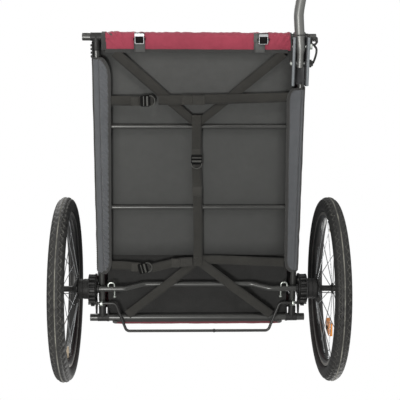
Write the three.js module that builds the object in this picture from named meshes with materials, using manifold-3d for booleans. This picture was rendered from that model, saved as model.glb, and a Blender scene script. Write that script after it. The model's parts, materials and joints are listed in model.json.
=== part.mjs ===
// Child bicycle trailer: a folding tube frame on two 20 inch wheels, with a fabric cabin, a drawbar,
// a foot brake and a push handle. Millimetres, +Z up, forward is -Y, +X is the trailer's left.
// It is built level about its axle (Y = 0), then parked nose down on both wheels and the coupling.
import * as THREE from "three";
import { mergeVertices } from "three/addons/utils/BufferGeometryUtils.js";
import Module from "manifold-3d";

const wasm = await Module();
wasm.setup();

// Driving dimensions.
const WHEEL_R = 250;
const WHEEL_X = 357;
const RAIL_X = 262.5;
const RAIL_Z = 270;
const RAIL_R = 8.5;
const FRONT_Y = -676.5;
const REAR_Y = 92.5;
const CROSS_TUBE_R = 10;
const CROSS_TUBE_HALF = 297;
const AXLE_TUBE_R = 7.5;
const STUB_R = 6;
const FLOOR_Z = 277.2;
const WEBBING = { width: 25, thick: 1.6, z: 259.2 };
const HOOP_R = 8.5;
const HOOP_BEND = 60;
const REAR_HINGE = { y: 60, z: 290, lean: 82, length: 636, x: RAIL_X };
const FRONT_HINGE = { y: -640, z: 290, lean: 57.9, length: 696, x: 228 };
const HINGE_PIN_R = 4;
const PANEL = { inner: 272, thick: 3 };
const DRAWBAR = { x: 255, z: 238.5, r: 12.5, bolt_y: -615, pin_y: -657, tip_x: 75, tip_y: -1186,
  bend: 60 };
const COUPLING = { length: 50, width: 34, low: 252, high: 286 };
const HANDLE = { along: 480, x: 287, r: 10, grip_y: 330, grip_z: 960 };
const BRAKE = { y: 45, z: 256, r: 3.8, foot_y: 128, foot_z: 250, foot_x: 194 };
const GAP = 0.3;

const material = (color, roughness, metalness = 0) =>
  new THREE.MeshStandardMaterial({ color, roughness, metalness });
const LOOK = {
  tube: material(0x3c3d3b, 0.45, 0.3),
  drawbar: material(0x5b5e60, 0.4, 0.5),
  zinc: material(0xc8d4cc, 0.3, 0.9),
  plastic: material(0x1d1d1c, 0.55),
  floor: material(0x4b4c4b, 0.9),
  webbing: material(0x3a3934, 0.85),
  side: material(0x5f6268, 0.85),
  cover: material(0xaa435a, 0.85),
  seat: material(0x4a4a4c, 0.95),
  tyre: material(0x2b2b29, 0.9),
  rim: material(0x232323, 0.4, 0.5),
  foam: material(0x202020, 0.95),
};

const trailer = new THREE.Group();
const V = (x, y, z) => new THREE.Vector3(x, y, z);
const radians = THREE.MathUtils.degToRad;

function add(name, geometry, look) {
  const mesh = new THREE.Mesh(geometry, look);
  mesh.name = name;
  trailer.add(mesh);
  return mesh;
}

function toManifold(geometry) {
  const bare = geometry.clone();
  bare.deleteAttribute("normal");
  bare.deleteAttribute("uv");
  const merged = mergeVertices(bare, 1e-4);
  return new wasm.Manifold(new wasm.Mesh({
    numProp: 3,
    vertProperties: Float32Array.from(merged.attributes.position.array),
    triVerts: Uint32Array.from(merged.index.array),
  }));
}

function toGeometry(manifold) {
  const mesh = manifold.getMesh();
  const geometry = new THREE.BufferGeometry();
  geometry.setAttribute("position", new THREE.BufferAttribute(Float32Array.from(mesh.vertProperties), 3));
  geometry.setIndex(Array.from(mesh.triVerts));
  geometry.computeVertexNormals();
  return geometry;
}

const join = (...shapes) => toGeometry(shapes.map(toManifold).reduce((a, b) => a.add(b)));
const cut = (body, ...tools) => toGeometry(
  tools.map(toManifold).reduce((a, b) => a.subtract(b), toManifold(body)));

function box(x0, x1, y0, y1, z0, z1) {
  const geometry = new THREE.BoxGeometry(Math.abs(x1 - x0), Math.abs(y1 - y0), Math.abs(z1 - z0));
  return geometry.translate((x0 + x1) / 2, (y0 + y1) / 2, (z0 + z1) / 2);
}

// A round bar from one point to another.
function rod(from, to, r, sides = 12) {
  const along = to.clone().sub(from);
  const geometry = new THREE.CylinderGeometry(r, r, along.length(), sides);
  const turn = new THREE.Quaternion().setFromUnitVectors(V(0, 1, 0), along.clone().normalize());
  const middle = from.clone().add(to).multiplyScalar(0.5);
  return geometry.applyQuaternion(turn).translate(middle.x, middle.y, middle.z);
}

const rodX = (x0, x1, y, z, r, sides) => rod(V(x0, y, z), V(x1, y, z), r, sides);
const rodY = (y0, y1, x, z, r, sides) => rod(V(x, y0, z), V(x, y1, z), r, sides);

// A turned body about the X axis through (y, z); the profile lists [radius, x] pairs, x rising.
function turned(profile, y, z, sides = 24) {
  const points = profile.map(([r, x]) => new THREE.Vector2(r, x));
  return new THREE.LatheGeometry(points, sides).rotateZ(-Math.PI / 2).translate(0, y, z);
}

// A plate whose outline is given as [y, z] pairs, between x0 and x1.
const YZ_TO_WORLD = new THREE.Matrix4().makeBasis(V(0, 1, 0), V(0, 0, 1), V(1, 0, 0));
function plateYZ(outline, x0, x1) {
  const shape = outline instanceof THREE.Shape
    ? outline : new THREE.Shape(outline.map(([y, z]) => new THREE.Vector2(y, z)));
  const low = Math.min(x0, x1);
  const geometry = new THREE.ExtrudeGeometry(shape, {
    depth: Math.abs(x1 - x0), bevelEnabled: false, curveSegments: 6 });
  return geometry.applyMatrix4(YZ_TO_WORLD).translate(low, 0, 0);
}

function plateXY(outline, z0, z1) {
  const shape = new THREE.Shape(outline.map(([x, y]) => new THREE.Vector2(x, y)));
  return new THREE.ExtrudeGeometry(shape, { depth: z1 - z0, bevelEnabled: false }).translate(0, 0, z0);
}

// A sheet of even thickness that follows [y, z] points, its material on the left of the path.
function sheet(points, thick, x0, x1) {
  const path = points.map(([y, z]) => new THREE.Vector2(y, z));
  const offset = path.map((p, i) => {
    const before = p.clone().sub(path[Math.max(i - 1, 0)]).normalize();
    const after = path[Math.min(i + 1, path.length - 1)].clone().sub(p).normalize();
    const along = before.add(after).normalize();
    return p.clone().add(new THREE.Vector2(-along.y, along.x).multiplyScalar(thick));
  });
  return plateYZ([...path, ...offset.reverse()].map((p) => [p.x, p.y]), x0, x1);
}

// Straight runs joined by round bends, with a station at the ends of each run and along each bend.
class BentPath extends THREE.Curve {
  constructor(corners, bendRadius, bendSteps = 4) {
    super();
    this.stations = [];
    const directions = corners.slice(1).map((c, i) => c.clone().sub(corners[i]).normalize());
    this.push(corners[0], directions[0]);
    for (let i = 1; i < corners.length - 1; i += 1) {
      const [d1, d2] = [directions[i - 1], directions[i]];
      const angle = d1.angleTo(d2);
      const start = corners[i].clone().addScaledVector(d1, -bendRadius * Math.tan(angle / 2));
      const inward = d2.clone().addScaledVector(d1, -d1.dot(d2)).normalize();
      const centre = start.clone().addScaledVector(inward, bendRadius);
      for (let step = 0; step <= bendSteps; step += 1) {
        const a = (angle * step) / bendSteps;
        const point = centre.clone().addScaledVector(inward, -bendRadius * Math.cos(a))
          .addScaledVector(d1, bendRadius * Math.sin(a));
        this.push(point, d1.clone().multiplyScalar(Math.cos(a)).addScaledVector(inward, Math.sin(a)));
      }
    }
    this.push(corners.at(-1), directions.at(-1));
  }

  push(point, tangent) {
    this.stations.push({ point, tangent });
  }

  station(u) {
    return this.stations[Math.round(u * (this.stations.length - 1))];
  }

  getPointAt(u) {
    return this.station(u).point.clone();
  }

  getTangentAt(u) {
    return this.station(u).tangent.clone();
  }
}

function circle(r, sides) {
  const shape = new THREE.Shape();
  for (let i = 0; i < sides; i += 1) {
    const a = (2 * Math.PI * i) / sides;
    if (i === 0) shape.moveTo(r, 0);
    else shape.lineTo(r * Math.cos(a), r * Math.sin(a));
  }
  return shape;
}

function bentTube(corners, r, bendRadius, { sides = 10, bendSteps = 4 } = {}) {
  const path = new BentPath(corners, bendRadius, bendSteps);
  return new THREE.ExtrudeGeometry(circle(r, sides), {
    steps: path.stations.length - 1, extrudePath: path, bevelEnabled: false });
}

// A rounded outline around two circles, as [y, z] pairs: the hull of two bosses.
function strapOutline(a, ra, b, rb, arcSteps = 6) {
  const along = Math.atan2(b[1] - a[1], b[0] - a[0]);
  const distance = Math.hypot(b[0] - a[0], b[1] - a[1]);
  const tilt = Math.acos((ra - rb) / distance);
  const points = [];
  const arc = (centre, r, from, to) => {
    for (let i = 0; i <= arcSteps; i += 1) {
      const t = from + ((to - from) * i) / arcSteps;
      points.push([centre[0] + r * Math.cos(t), centre[1] + r * Math.sin(t)]);
    }
  };
  arc(b, rb, along - tilt, along + tilt);
  arc(a, ra, along + tilt, along + 2 * Math.PI - tilt);
  return points;
}

const sides = [["left", 1], ["right", -1]];

// Base frame: two cross tubes, two rails, corner tees with hinge lugs, and two crossbars.
function crossTube(y) {
  const [end, bore, depth] = [CROSS_TUBE_HALF, 7.5, 50];
  return turned([[0, -end + depth], [bore, -end + depth], [bore, -end], [CROSS_TUBE_R, -end],
    [CROSS_TUBE_R, end], [bore, end], [bore, end - depth], [0, end - depth]], y, RAIL_Z, 14);
}

function cornerTee(s, y, lug) {
  const inward = y < 0 ? 1 : -1;
  const sleeve = rodX(s * 244.7, s * 281, y, RAIL_Z, 12.5, 12);
  const socket = rodY(y, y + inward * 34, s * RAIL_X, RAIL_Z, 10.7, 12);
  const plate = plateYZ(strapOutline([y, RAIL_Z], 12.5, [lug.y, lug.z], 8, 4), s * lug.x0, s * lug.x1);
  return cut(join(sleeve, socket, plate),
    rodX(-320, 320, y, RAIL_Z, CROSS_TUBE_R + 2 * GAP, 12),
    rodY(y + inward * 12, y + inward * 60, s * RAIL_X, RAIL_Z, RAIL_R + 2 * GAP, 12),
    rodX(-320, 320, lug.y, lug.z, HINGE_PIN_R + GAP, 10));
}

add("cross_tube_front", crossTube(FRONT_Y), LOOK.tube);
add("cross_tube_rear", crossTube(REAR_Y), LOOK.tube);
for (const [side, s] of sides) {
  add(`side_rail_${side}`,
    rodY(FRONT_Y + 12.5, REAR_Y - 12.5, s * RAIL_X, RAIL_Z, RAIL_R, 16), LOOK.tube);
  const frontLug = { y: FRONT_HINGE.y, z: FRONT_HINGE.z, x0: 240, x1: 245 };
  const rearLug = { y: REAR_HINGE.y, z: REAR_HINGE.z, x0: 248, x1: 253.5 };
  add(`corner_tee_front_${side}`, cornerTee(s, FRONT_Y, frontLug), LOOK.plastic);
  add(`corner_tee_rear_${side}`, cornerTee(s, REAR_Y, rearLug), LOOK.plastic);
}
for (const [name, y] of [["crossbar_front", -445.5], ["crossbar_rear", -226]]) {
  const half = RAIL_X - RAIL_R - GAP;
  add(name, rodX(-half, half, y, RAIL_Z, 6, 12), LOOK.tube);
}
const floor = box(-247, 247, FRONT_Y + 12, REAR_Y - 12, FLOOR_Z, FLOOR_Z + 2.6);
add("floor_panel", cut(floor, ...sides.map(([, s]) =>
  box(s * 239, s * 255, FRONT_Y, FRONT_HINGE.y + 9, FLOOR_Z - 9, FLOOR_Z + 9))), LOOK.floor);

// Axle: a bent tube with a bore at each end for a stub, and the plates and U-bolts that hold it.
const axleTube = bentTube([V(-281.7, 0, 250), V(-197, 0, 250), V(-148, -6, 269),
  V(148, -6, 269), V(197, 0, 250), V(281.7, 0, 250)], AXLE_TUBE_R, 40, { sides: 12, bendSteps: 2 });
add("axle_tube", cut(axleTube, ...sides.map(([, s]) =>
  rodX(s * 240, s * 285, 0, WHEEL_R, STUB_R + GAP, 16))), LOOK.tube);
for (const [side, s] of sides) {
  const plate = plateYZ(strapOutline([0, WHEEL_R], 18, [0, 276], 34, 5), s * 275.6, s * 281);
  add(`axle_plate_${side}`, cut(plate,
    rodX(s * 270, s * 290, 0, WHEEL_R, AXLE_TUBE_R + GAP, 20)), LOOK.plastic);
  const [low, lift, inner, outer] = [239.3, 257.5, s * 227, s * 244];
  add(`axle_u_bolt_${side}`, bentTube([V(inner, 18, lift), V(inner, 18, low), V(inner, -18, low),
    V(outer, -18, low), V(outer, 18, low), V(outer, 18, lift)], 2.4, 5, { sides: 8, bendSteps: 2 }),
    LOOK.zinc);
  const clip = strapOutline([BRAKE.y, BRAKE.z - 1], 8, [BRAKE.y, BRAKE.z + 4.6], 8, 5);
  add(`brake_clip_${side}`, cut(plateYZ(clip, s * 260, s * 268),
    rodX(s * 250, s * 290, BRAKE.y, BRAKE.z, BRAKE.r + GAP, 16),
    rodY(0, 90, s * RAIL_X, RAIL_Z, RAIL_R + GAP, 20)), LOOK.zinc);
}

// Wheels, drawn for the left side and turned half round for the right one.
const tyreHalf = [[203.8, 7.2], [209.4, 9.3], [217, 18], [231, 21.5], [243, 15.5]];
const rimHalf = [[193, 7], [201, 13.4], [209, 13], [203, 8]];
const mirroredRing = (half, middle) => {
  const ring = [...half.map(([r, x]) => [r, -x]), ...middle, ...half.slice().reverse()];
  return [...ring, ring[0]].map(([r, x]) => [r, x + WHEEL_X]);
};
const hubProfile = [[6.3, 302.3], [27.5, 302.3], [27.5, 324], [39.5, 324], [39.5, 329], [30, 333],
  [9, 341], [9, 366], [15, 367], [15, 371], [6.3, 373], [6.3, 302.3]];
const WHEEL_STEPS = 32;
const SPOKES = 20;
const BRAKE_TEETH = 16;

function spokedRim() {
  const ring = turned(mirroredRing(rimHalf, []), 0, WHEEL_R, WHEEL_STEPS);
  const spokes = Array.from({ length: SPOKES }, (_, i) => {
    const [hubR, hubX] = i % 2 ? [40.3, 326.5] : [15.8, 369];
    const lean = radians(i % 4 < 2 ? 14 : -14);
    const a = (2 * Math.PI * i) / SPOKES;
    return rod(V(hubX, hubR * Math.sin(a + lean), WHEEL_R + hubR * Math.cos(a + lean)),
      V(WHEEL_X, 194.5 * Math.sin(a), WHEEL_R + 194.5 * Math.cos(a)), 1.3, 4);
  });
  return join(ring, ...spokes);
}

function brakeRing() {
  const outline = [];
  for (let i = 0; i < BRAKE_TEETH; i += 1) {
    const pitch = (2 * Math.PI) / BRAKE_TEETH;
    const middle = (i + 0.5) * pitch + radians(-6);
    const half = pitch * 0.155;
    for (const [r, a] of [[33, -half - 0.01], [40, -half], [40, half], [33, half + 0.01]]) {
      outline.push([r * Math.cos(middle + a), WHEEL_R + r * Math.sin(middle + a)]);
    }
  }
  return cut(plateYZ(outline, 283, 302), rodX(270, 310, 0, WHEEL_R, STUB_R + GAP, 16));
}

function stubAxle(s) {
  const body = join(rodX(241, 380, 0, WHEEL_R, STUB_R, 16), rodX(373.4, 387, 0, WHEEL_R, 9, 20));
  const bored = cut(body, rodX(378, 395, 0, WHEEL_R, 5.3, 16));
  return s > 0 ? bored : bored.rotateZ(Math.PI);
}

for (const [side, s] of sides) {
  const turn = (geometry) => (s > 0 ? geometry : geometry.rotateZ(Math.PI));
  const tyre = turned(mirroredRing(tyreHalf, [[WHEEL_R, 0]]), 0, WHEEL_R, WHEEL_STEPS);
  add(`tyre_${side}`, turn(tyre), LOOK.tyre);
  add(`rim_${side}`, turn(spokedRim()), LOOK.rim);
  add(`hub_${side}`, turn(turned(hubProfile, 0, WHEEL_R, 16)), LOOK.plastic);
  const ring = s > 0 ? brakeRing() : brakeRing().scale(-1, 1, 1);
  if (s < 0) ring.index.array.reverse();
  add(`brake_ring_${side}`, ring, LOOK.plastic);
  add(`stub_axle_${side}`, stubAxle(s), LOOK.tube);
  add(`release_button_${side}`, turn(turned([[0, 382.5], [5, 382.5], [5, 391], [3.8, 392], [0, 392]],
    0, WHEEL_R, 16)), LOOK.zinc);
}

// Foot brake: a bent rod in two clips; a pawl at each end drops between the teeth of a brake ring.
const brakeHalf = [V(BRAKE.foot_x + 2, BRAKE.foot_y - 6, BRAKE.foot_z), V(226, BRAKE.y, BRAKE.z),
  V(300, BRAKE.y, BRAKE.z)];
const brakeCorners = [...brakeHalf.slice().reverse().map((p) => V(-p.x, p.y, p.z)), ...brakeHalf];
const brakeRod = bentTube(brakeCorners, BRAKE.r, 12, { sides: 8 });
const pawls = sides.map(([, s]) =>
  box(s * 288, s * 298, BRAKE.y - 2, BRAKE.y + 2, BRAKE.z - 16, BRAKE.z));
add("brake_bar", join(brakeRod, ...pawls), LOOK.tube);

// Underside webbing: a centre strap with two straps splayed to each end, and two cross straps.
function strap(from, to, z0) {
  const [a, b] = [new THREE.Vector2(...from), new THREE.Vector2(...to)];
  const along = b.clone().sub(a).normalize();
  const side = new THREE.Vector2(-along.y, along.x).multiplyScalar(WEBBING.width / 2);
  const corners = [a.clone().sub(side), b.clone().sub(side), b.clone().add(side), a.clone().add(side)];
  return plateXY(corners.map((p) => [p.x, p.y]), z0, z0 + WEBBING.thick);
}

add("underside_webbing", join(
  strap([0, -486], [0, -64], WEBBING.z),
  strap([0, -476], [212, -636], WEBBING.z), strap([0, -476], [-212, -636], WEBBING.z),
  strap([0, -75], [201, 78], WEBBING.z), strap([0, -75], [-184, 78], WEBBING.z)), LOOK.webbing);
const crossLow = WEBBING.z - WEBBING.thick - GAP;
const crossHigh = WEBBING.z + WEBBING.thick + GAP;
add("front_cross_strap", strap([-233, -521], [233, -521], crossLow), LOOK.webbing);
add("rear_cross_strap", strap([-233, -72], [233, -72], crossHigh), LOOK.webbing);

function ladderLock(x, y, width, length, top) {
  const frame = box(x - width / 2, x + width / 2, y - length / 2, y + length / 2, top - 4, top);
  const slot = (from) => box(x - width / 2 + 4, x + width / 2 - 4, y + from, y + from + 6, top - 9, top + 9);
  return cut(frame, slot(-length / 2 + 4), slot(length / 2 - 10));
}

add("centre_strap_buckle", ladderLock(0, -352, 32, 36, WEBBING.z - GAP), LOOK.plastic);
add("front_strap_buckle", ladderLock(-133, -521, 38, 31, crossLow - GAP), LOOK.plastic);
add("rear_strap_buckle", ladderLock(-140, -58, 36, 30, crossHigh - GAP), LOOK.plastic);

// Drawbar bracket: a channel open downwards, with rounded lips. The star-knob bolt is the drawbar's
// pivot; the lock pin drops out of the front notches and into the rear ones when the drawbar is stowed.
function lockNotch(toBolt) {
  const { x, z, bolt_y: bolt, pin_y: pin } = DRAWBAR;
  const y = bolt + toBolt * (pin - bolt);
  const inward = -toBolt * Math.sign(pin - bolt);
  const [half, mouth] = [4.4, 8];
  const outline = [[y - half * inward, 220], [y + mouth * inward, 220], [y + half * inward, z],
    [y + half * inward, z + half], [y - half * inward, z + half]];
  return plateYZ(inward > 0 ? outline : outline.reverse(), x - 30, x + 30);
}

function drawbarBracket() {
  const [half, wall, lip, top, low] = [17, 4, 21, 257.2, 226];
  const x = DRAWBAR.x;
  const [y0, y1] = [-676, -552];
  const channel = join(
    box(x - half, x + half, y0, y1, top - 3.7, top),
    box(x - half, x - half + wall, y0, y1, low, top), box(x + half - wall, x + half, y0, y1, low, top),
    box(x - lip, x - half + 1, y0 + 12, y1 - 12, low, low + 3.5),
    box(x + half - 1, x + lip, y0 + 12, y1 - 12, low, low + 3.5));
  return cut(channel, lockNotch(1), lockNotch(-1),
    rodX(x - 30, x + 30, DRAWBAR.bolt_y, DRAWBAR.z, HINGE_PIN_R + GAP, 16));
}

add("drawbar_bracket", drawbarBracket(), LOOK.plastic);
add("drawbar_bolt", turned([[0, 227.5], [7, 227.5], [7, 233.6], [HINGE_PIN_R, 233.6],
  [HINGE_PIN_R, 276.4], [16, 276.4], [16, 286], [11, 291], [0, 291]], DRAWBAR.bolt_y, DRAWBAR.z, 16),
  LOOK.plastic);
add("lock_pin", turned([[0, 233], [HINGE_PIN_R, 234], [HINGE_PIN_R, 276.4], [8, 276.4], [8, 284], [0, 284]],
  DRAWBAR.pin_y, DRAWBAR.z, 16), LOOK.zinc);

const { x: BAR_X, z: BAR_Z, r: BAR_R, bend: BAR_BEND } = DRAWBAR;
const COUPLING_Z = (COUPLING.low + COUPLING.high) / 2;
const drawbarTube = bentTube([V(BAR_X, -640, BAR_Z), V(BAR_X + 2, -800, BAR_Z + 2),
  V(BAR_X - 4, -930, BAR_Z + 8), V(DRAWBAR.tip_x, -1110, COUPLING_Z),
  V(DRAWBAR.tip_x, DRAWBAR.tip_y, COUPLING_Z)], BAR_R, BAR_BEND, { sides: 12, bendSteps: 3 });
add("drawbar", cut(join(drawbarTube, rodY(-652, -604, BAR_X, BAR_Z, 9.3, 16)),
  ...[DRAWBAR.bolt_y, DRAWBAR.pin_y].map((y) =>
    rodX(BAR_X - 30, BAR_X + 30, y, BAR_Z, HINGE_PIN_R + GAP, 16))), LOOK.drawbar);

// Coupling: a fork that takes a hitch tongue, closed by an upright pin.
function coupling() {
  const { length, width, low, high } = COUPLING;
  const [x, back] = [DRAWBAR.tip_x, DRAWBAR.tip_y - GAP];
  const block = box(x - width / 2, x + width / 2, back - length, back, low, high);
  return cut(block, box(x - width, x + width, back - length - 5, back - 10, COUPLING_Z - 6, COUPLING_Z + 6),
    rod(V(x, back - 30, low - 9), V(x, back - 30, high + 9), HINGE_PIN_R + GAP, 16));
}

const hitchY = DRAWBAR.tip_y - GAP - 30;
add("coupling", coupling(), LOOK.plastic);
const onHitch = (z) => V(DRAWBAR.tip_x, hitchY, z);
add("hitch_pin", join(
  rod(onHitch(COUPLING.low + 1), onHitch(COUPLING.high + 6), HINGE_PIN_R, 14),
  rod(onHitch(COUPLING.high + GAP), onHitch(COUPLING.high + 9), 9, 16)), LOOK.zinc);

// Tether: a cord from the star knob up into the open end of the front cross tube.
const tetherRoute = [V(293.5, -615, 239), V(299, -620, 241), V(304, -632, 245), V(305, -646, 251),
  V(303, -660, 258), V(301, -670, 265), V(298.5, -675.5, 269.3), V(288, -676.5, 270)];
add("pin_tether", new THREE.ExtrudeGeometry(circle(2.1, 8), {
  steps: 18, extrudePath: new THREE.CatmullRomCurve3(tetherRoute), bevelEnabled: false }), LOOK.plastic);

// Cabin hoops: bent tubes hinged on pins in the lugs of the corner tees.
// lean is the legs' angle above the rearward level; out is a step square to the legs, forwards and up.
function hoopPoint(hinge, x, along, out = 0) {
  const a = radians(hinge.lean);
  return V(x, hinge.y + along * Math.cos(a) - out * Math.sin(a),
    hinge.z + along * Math.sin(a) + out * Math.cos(a));
}

function hoop(hinge, pinX) {
  const tube = bentTube([hoopPoint(hinge, -hinge.x, 0), hoopPoint(hinge, -hinge.x, hinge.length),
    hoopPoint(hinge, hinge.x, hinge.length), hoopPoint(hinge, hinge.x, 0)], HOOP_R, HOOP_BEND, { sides: 10 });
  return join(tube, ...sides.map(([, s]) =>
    rodX(s * (hinge.x - 3), s * pinX, hinge.y, hinge.z, HINGE_PIN_R, 14)),
    ...sides.map(([, s]) => rodX(s * (hinge.x - HOOP_R), s * (hinge.x + HOOP_R), hinge.y, hinge.z,
      HOOP_R - 0.2, 14)));
}

const handlePivot = hoopPoint(REAR_HINGE, 0, HANDLE.along);
add("front_hoop", hoop(FRONT_HINGE, 244.6), LOOK.tube);
add("rear_hoop", cut(hoop(REAR_HINGE, 248.2), ...sides.map(([, s]) =>
  rodX(s * 265, s * 290, handlePivot.y, handlePivot.z, 5.3, 16))), LOOK.tube);

// Push handle: arms outside the cabin on tilting pivots, joined by a grip bar.
function pushHandle() {
  const { x, r, grip_y: gy, grip_z: gz } = HANDLE;
  const [py, pz] = [handlePivot.y, handlePivot.z];
  const tube = bentTube([V(-x, py, pz), V(-x, gy, gz), V(x, gy, gz), V(x, py, pz)], r, 45, { sides: 10 });
  return join(tube, ...sides.flatMap(([, s]) => [
    rodX(s * 275.6, s * 298, py, pz, 16, 20), rodX(s * 265.6, s * 280, py, pz, 5, 16)]));
}

add("push_handle", pushHandle(), LOOK.tube);
const gripHalf = 170;
add("handle_grip", cut(rodX(-gripHalf, gripHalf, HANDLE.grip_y, HANDLE.grip_z, 15, 14),
  rodX(-gripHalf - 5, gripHalf + 5, HANDLE.grip_y, HANDLE.grip_z, HANDLE.r + 2 * GAP, 14)), LOOK.foam);

// Fabric cabin: plain closed sheets over the hoops.
const yz = (p) => [p.y, p.z];
const frontFoot = yz(hoopPoint(FRONT_HINGE, 0, 12, 10));
const frontTop = yz(hoopPoint(FRONT_HINGE, 0, FRONT_HINGE.length + 2, 10));
const rearTop = yz(hoopPoint(REAR_HINGE, 0, REAR_HINGE.length + 10, -10));

function sidePanel(s) {
  const flapY = s > 0 ? -548 : -624;
  const outline = [[flapY, 258], [-52, 258], [-52, 292], [50, 292], [rearTop[0] - 22, rearTop[1] - 4],
    [frontTop[0] + 10, frontTop[1] - 4], [frontFoot[0] + 2, frontFoot[1]], [-646, 288], [flapY, 284]];
  const wall = plateYZ(outline, s * PANEL.inner, s * (PANEL.inner + PANEL.thick));
  const flap = box(s * 236, s * (PANEL.inner + 1), flapY, -52, 258, 260.8);
  return cut(join(wall, flap), rodX(s * 260, s * 290, handlePivot.y, handlePivot.z, 7, 16));
}

for (const [side, s] of sides) add(`side_panel_${side}`, sidePanel(s), LOOK.side);
const roofHalf = PANEL.inner - GAP;
add("roof_panel", sheet([[rearTop[0] - 3, rearTop[1] + 4], [frontTop[0] + 4, frontTop[1] + 4]],
  -2.6, -roofHalf, roofHalf), LOOK.cover);
const coverUpper = sheet([frontFoot, frontTop], 2.4, -roofHalf, roofHalf);
const coverLower = sheet([[-644, 257.4], [-676, 257.4], [-688, 262], [-691, 272], [-686, 283],
  [frontFoot[0], frontFoot[1]], yz(hoopPoint(FRONT_HINGE, 0, 30, 10))], 2.4, -239.4, 237.4);
add("front_cover", join(coverUpper, coverLower), LOOK.cover);
const rearFoot = yz(hoopPoint(REAR_HINGE, 0, 30, -10));
add("rear_panel", join(
  sheet([rearFoot, rearTop], -2.4, -roofHalf, roofHalf),
  sheet([[107, 262], [108, 300], [rearFoot[0] + 8, rearFoot[1] + 20], yz(hoopPoint(REAR_HINGE, 0, 80, -10))],
    -2.4, -226, 226)), LOOK.cover);

// Seat: a padded base and a padded back, with a five-point harness and its buckle.
const SEAT = { half: 150, front: -400, rear: -120, base_z: 392, thick: 26, lean: 70, back: 450 };
const backPoint = (along, out) => {
  const a = radians(SEAT.lean);
  return [SEAT.rear + along * Math.cos(a) - out * Math.sin(a),
    SEAT.base_z + 4 + along * Math.sin(a) + out * Math.cos(a)];
};
add("seat_base", box(-SEAT.half, SEAT.half, SEAT.front, SEAT.rear - SEAT.thick - 4,
  SEAT.base_z - SEAT.thick, SEAT.base_z), LOOK.seat);
add("seat_back", plateYZ([backPoint(0, 0), backPoint(SEAT.back, 0), backPoint(SEAT.back, SEAT.thick),
  backPoint(0, SEAT.thick)], -SEAT.half, SEAT.half), LOOK.seat);
const onBack = (from, to, x0, x1) => {
  const [near, far] = [SEAT.thick + 0.5, SEAT.thick + 3];
  return plateYZ([backPoint(from, near), backPoint(to, near), backPoint(to, far), backPoint(from, far)],
    x0, x1);
};
add("harness_straps", join(onBack(60, 400, 45, 70), onBack(60, 400, -70, -45), onBack(60, 85, -130, 130)),
  LOOK.webbing);
const buckleAt = (from, to, low, high, half) => plateYZ([backPoint(from, low), backPoint(to, low),
  backPoint(to, high), backPoint(from, high)], -half, half);
const buckleFace = SEAT.thick + 3.3;
add("harness_buckle", cut(buckleAt(45, 100, buckleFace, buckleFace + 16, 26),
  buckleAt(58, 86, buckleFace + 7, buckleFace + 20, 14)), LOOK.plastic);
add("harness_button", buckleAt(58.4, 85.6, buckleFace + 11, buckleFace + 18, 13.6), LOOK.cover);

// Cover hooks: square rings under the front cross tube.
function coverHook(x) {
  const [y, z, half] = [-668, 251, 12];
  const ring = box(x - half, x + half, y - 8, y + 8, z, z + 3);
  return cut(ring, box(x - half + 3, x + half - 3, y - 5, y + 5, z - 5, z + 9));
}

for (const [side, s] of sides) add(`cover_hook_${side}`, coverHook(s * 152), LOOK.zinc);

// Parking: tilt about the axle until the coupling's front lower edge meets the ground, then centre it.
const noseY = DRAWBAR.tip_y - GAP - COUPLING.length;
const noseZ = COUPLING.low - WHEEL_R;
const parkTilt = Math.atan2(noseZ, -noseY) + Math.asin(WHEEL_R / Math.hypot(noseY, noseZ));
trailer.children.forEach((mesh) => mesh.geometry.translate(0, 0, -WHEEL_R));
trailer.rotation.x = parkTilt;
trailer.position.z = WHEEL_R;
const parked = new THREE.Group();
parked.add(trailer);
parked.updateMatrixWorld(true);
const extent = new THREE.Box3().setFromObject(parked, true);
trailer.position.y = -(extent.min.y + extent.max.y) / 2;

export default parked;
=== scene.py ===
"""Child bicycle trailer, seen from below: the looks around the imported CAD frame.

Metres; +Z is up and -Y is forward. Shapes are built in the trailer's own level frame, and LEVEL then
tips them to the way the trailer is parked, with its coupling on the ground.
"""
import json
import math
import random

import bmesh
import bpy
import numpy as np
from mathutils import Matrix, Vector, noise


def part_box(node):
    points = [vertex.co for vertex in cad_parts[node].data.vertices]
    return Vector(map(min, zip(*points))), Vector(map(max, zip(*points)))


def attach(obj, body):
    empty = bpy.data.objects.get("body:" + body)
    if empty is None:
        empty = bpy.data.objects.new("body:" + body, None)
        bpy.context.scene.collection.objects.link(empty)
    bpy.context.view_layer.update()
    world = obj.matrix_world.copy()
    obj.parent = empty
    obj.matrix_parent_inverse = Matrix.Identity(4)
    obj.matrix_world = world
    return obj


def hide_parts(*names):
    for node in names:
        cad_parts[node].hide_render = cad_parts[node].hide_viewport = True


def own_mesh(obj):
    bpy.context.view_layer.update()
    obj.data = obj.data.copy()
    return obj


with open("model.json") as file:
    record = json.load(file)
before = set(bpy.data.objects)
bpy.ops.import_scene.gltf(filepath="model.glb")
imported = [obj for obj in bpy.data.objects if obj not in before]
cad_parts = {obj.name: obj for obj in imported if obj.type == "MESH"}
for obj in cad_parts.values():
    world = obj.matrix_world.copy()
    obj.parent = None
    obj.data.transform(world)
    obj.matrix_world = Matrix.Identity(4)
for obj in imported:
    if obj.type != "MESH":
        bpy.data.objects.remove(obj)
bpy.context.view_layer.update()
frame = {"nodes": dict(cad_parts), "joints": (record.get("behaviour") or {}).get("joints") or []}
random.seed(7)

SCENE = bpy.context.scene


# ---------------------------------------------------------------- the trailer's own level frame
def centre_of(node):
    """The middle of a CAD node's box, in the parked frame."""
    low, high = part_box(node)
    return (low + high) / 2


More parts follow.
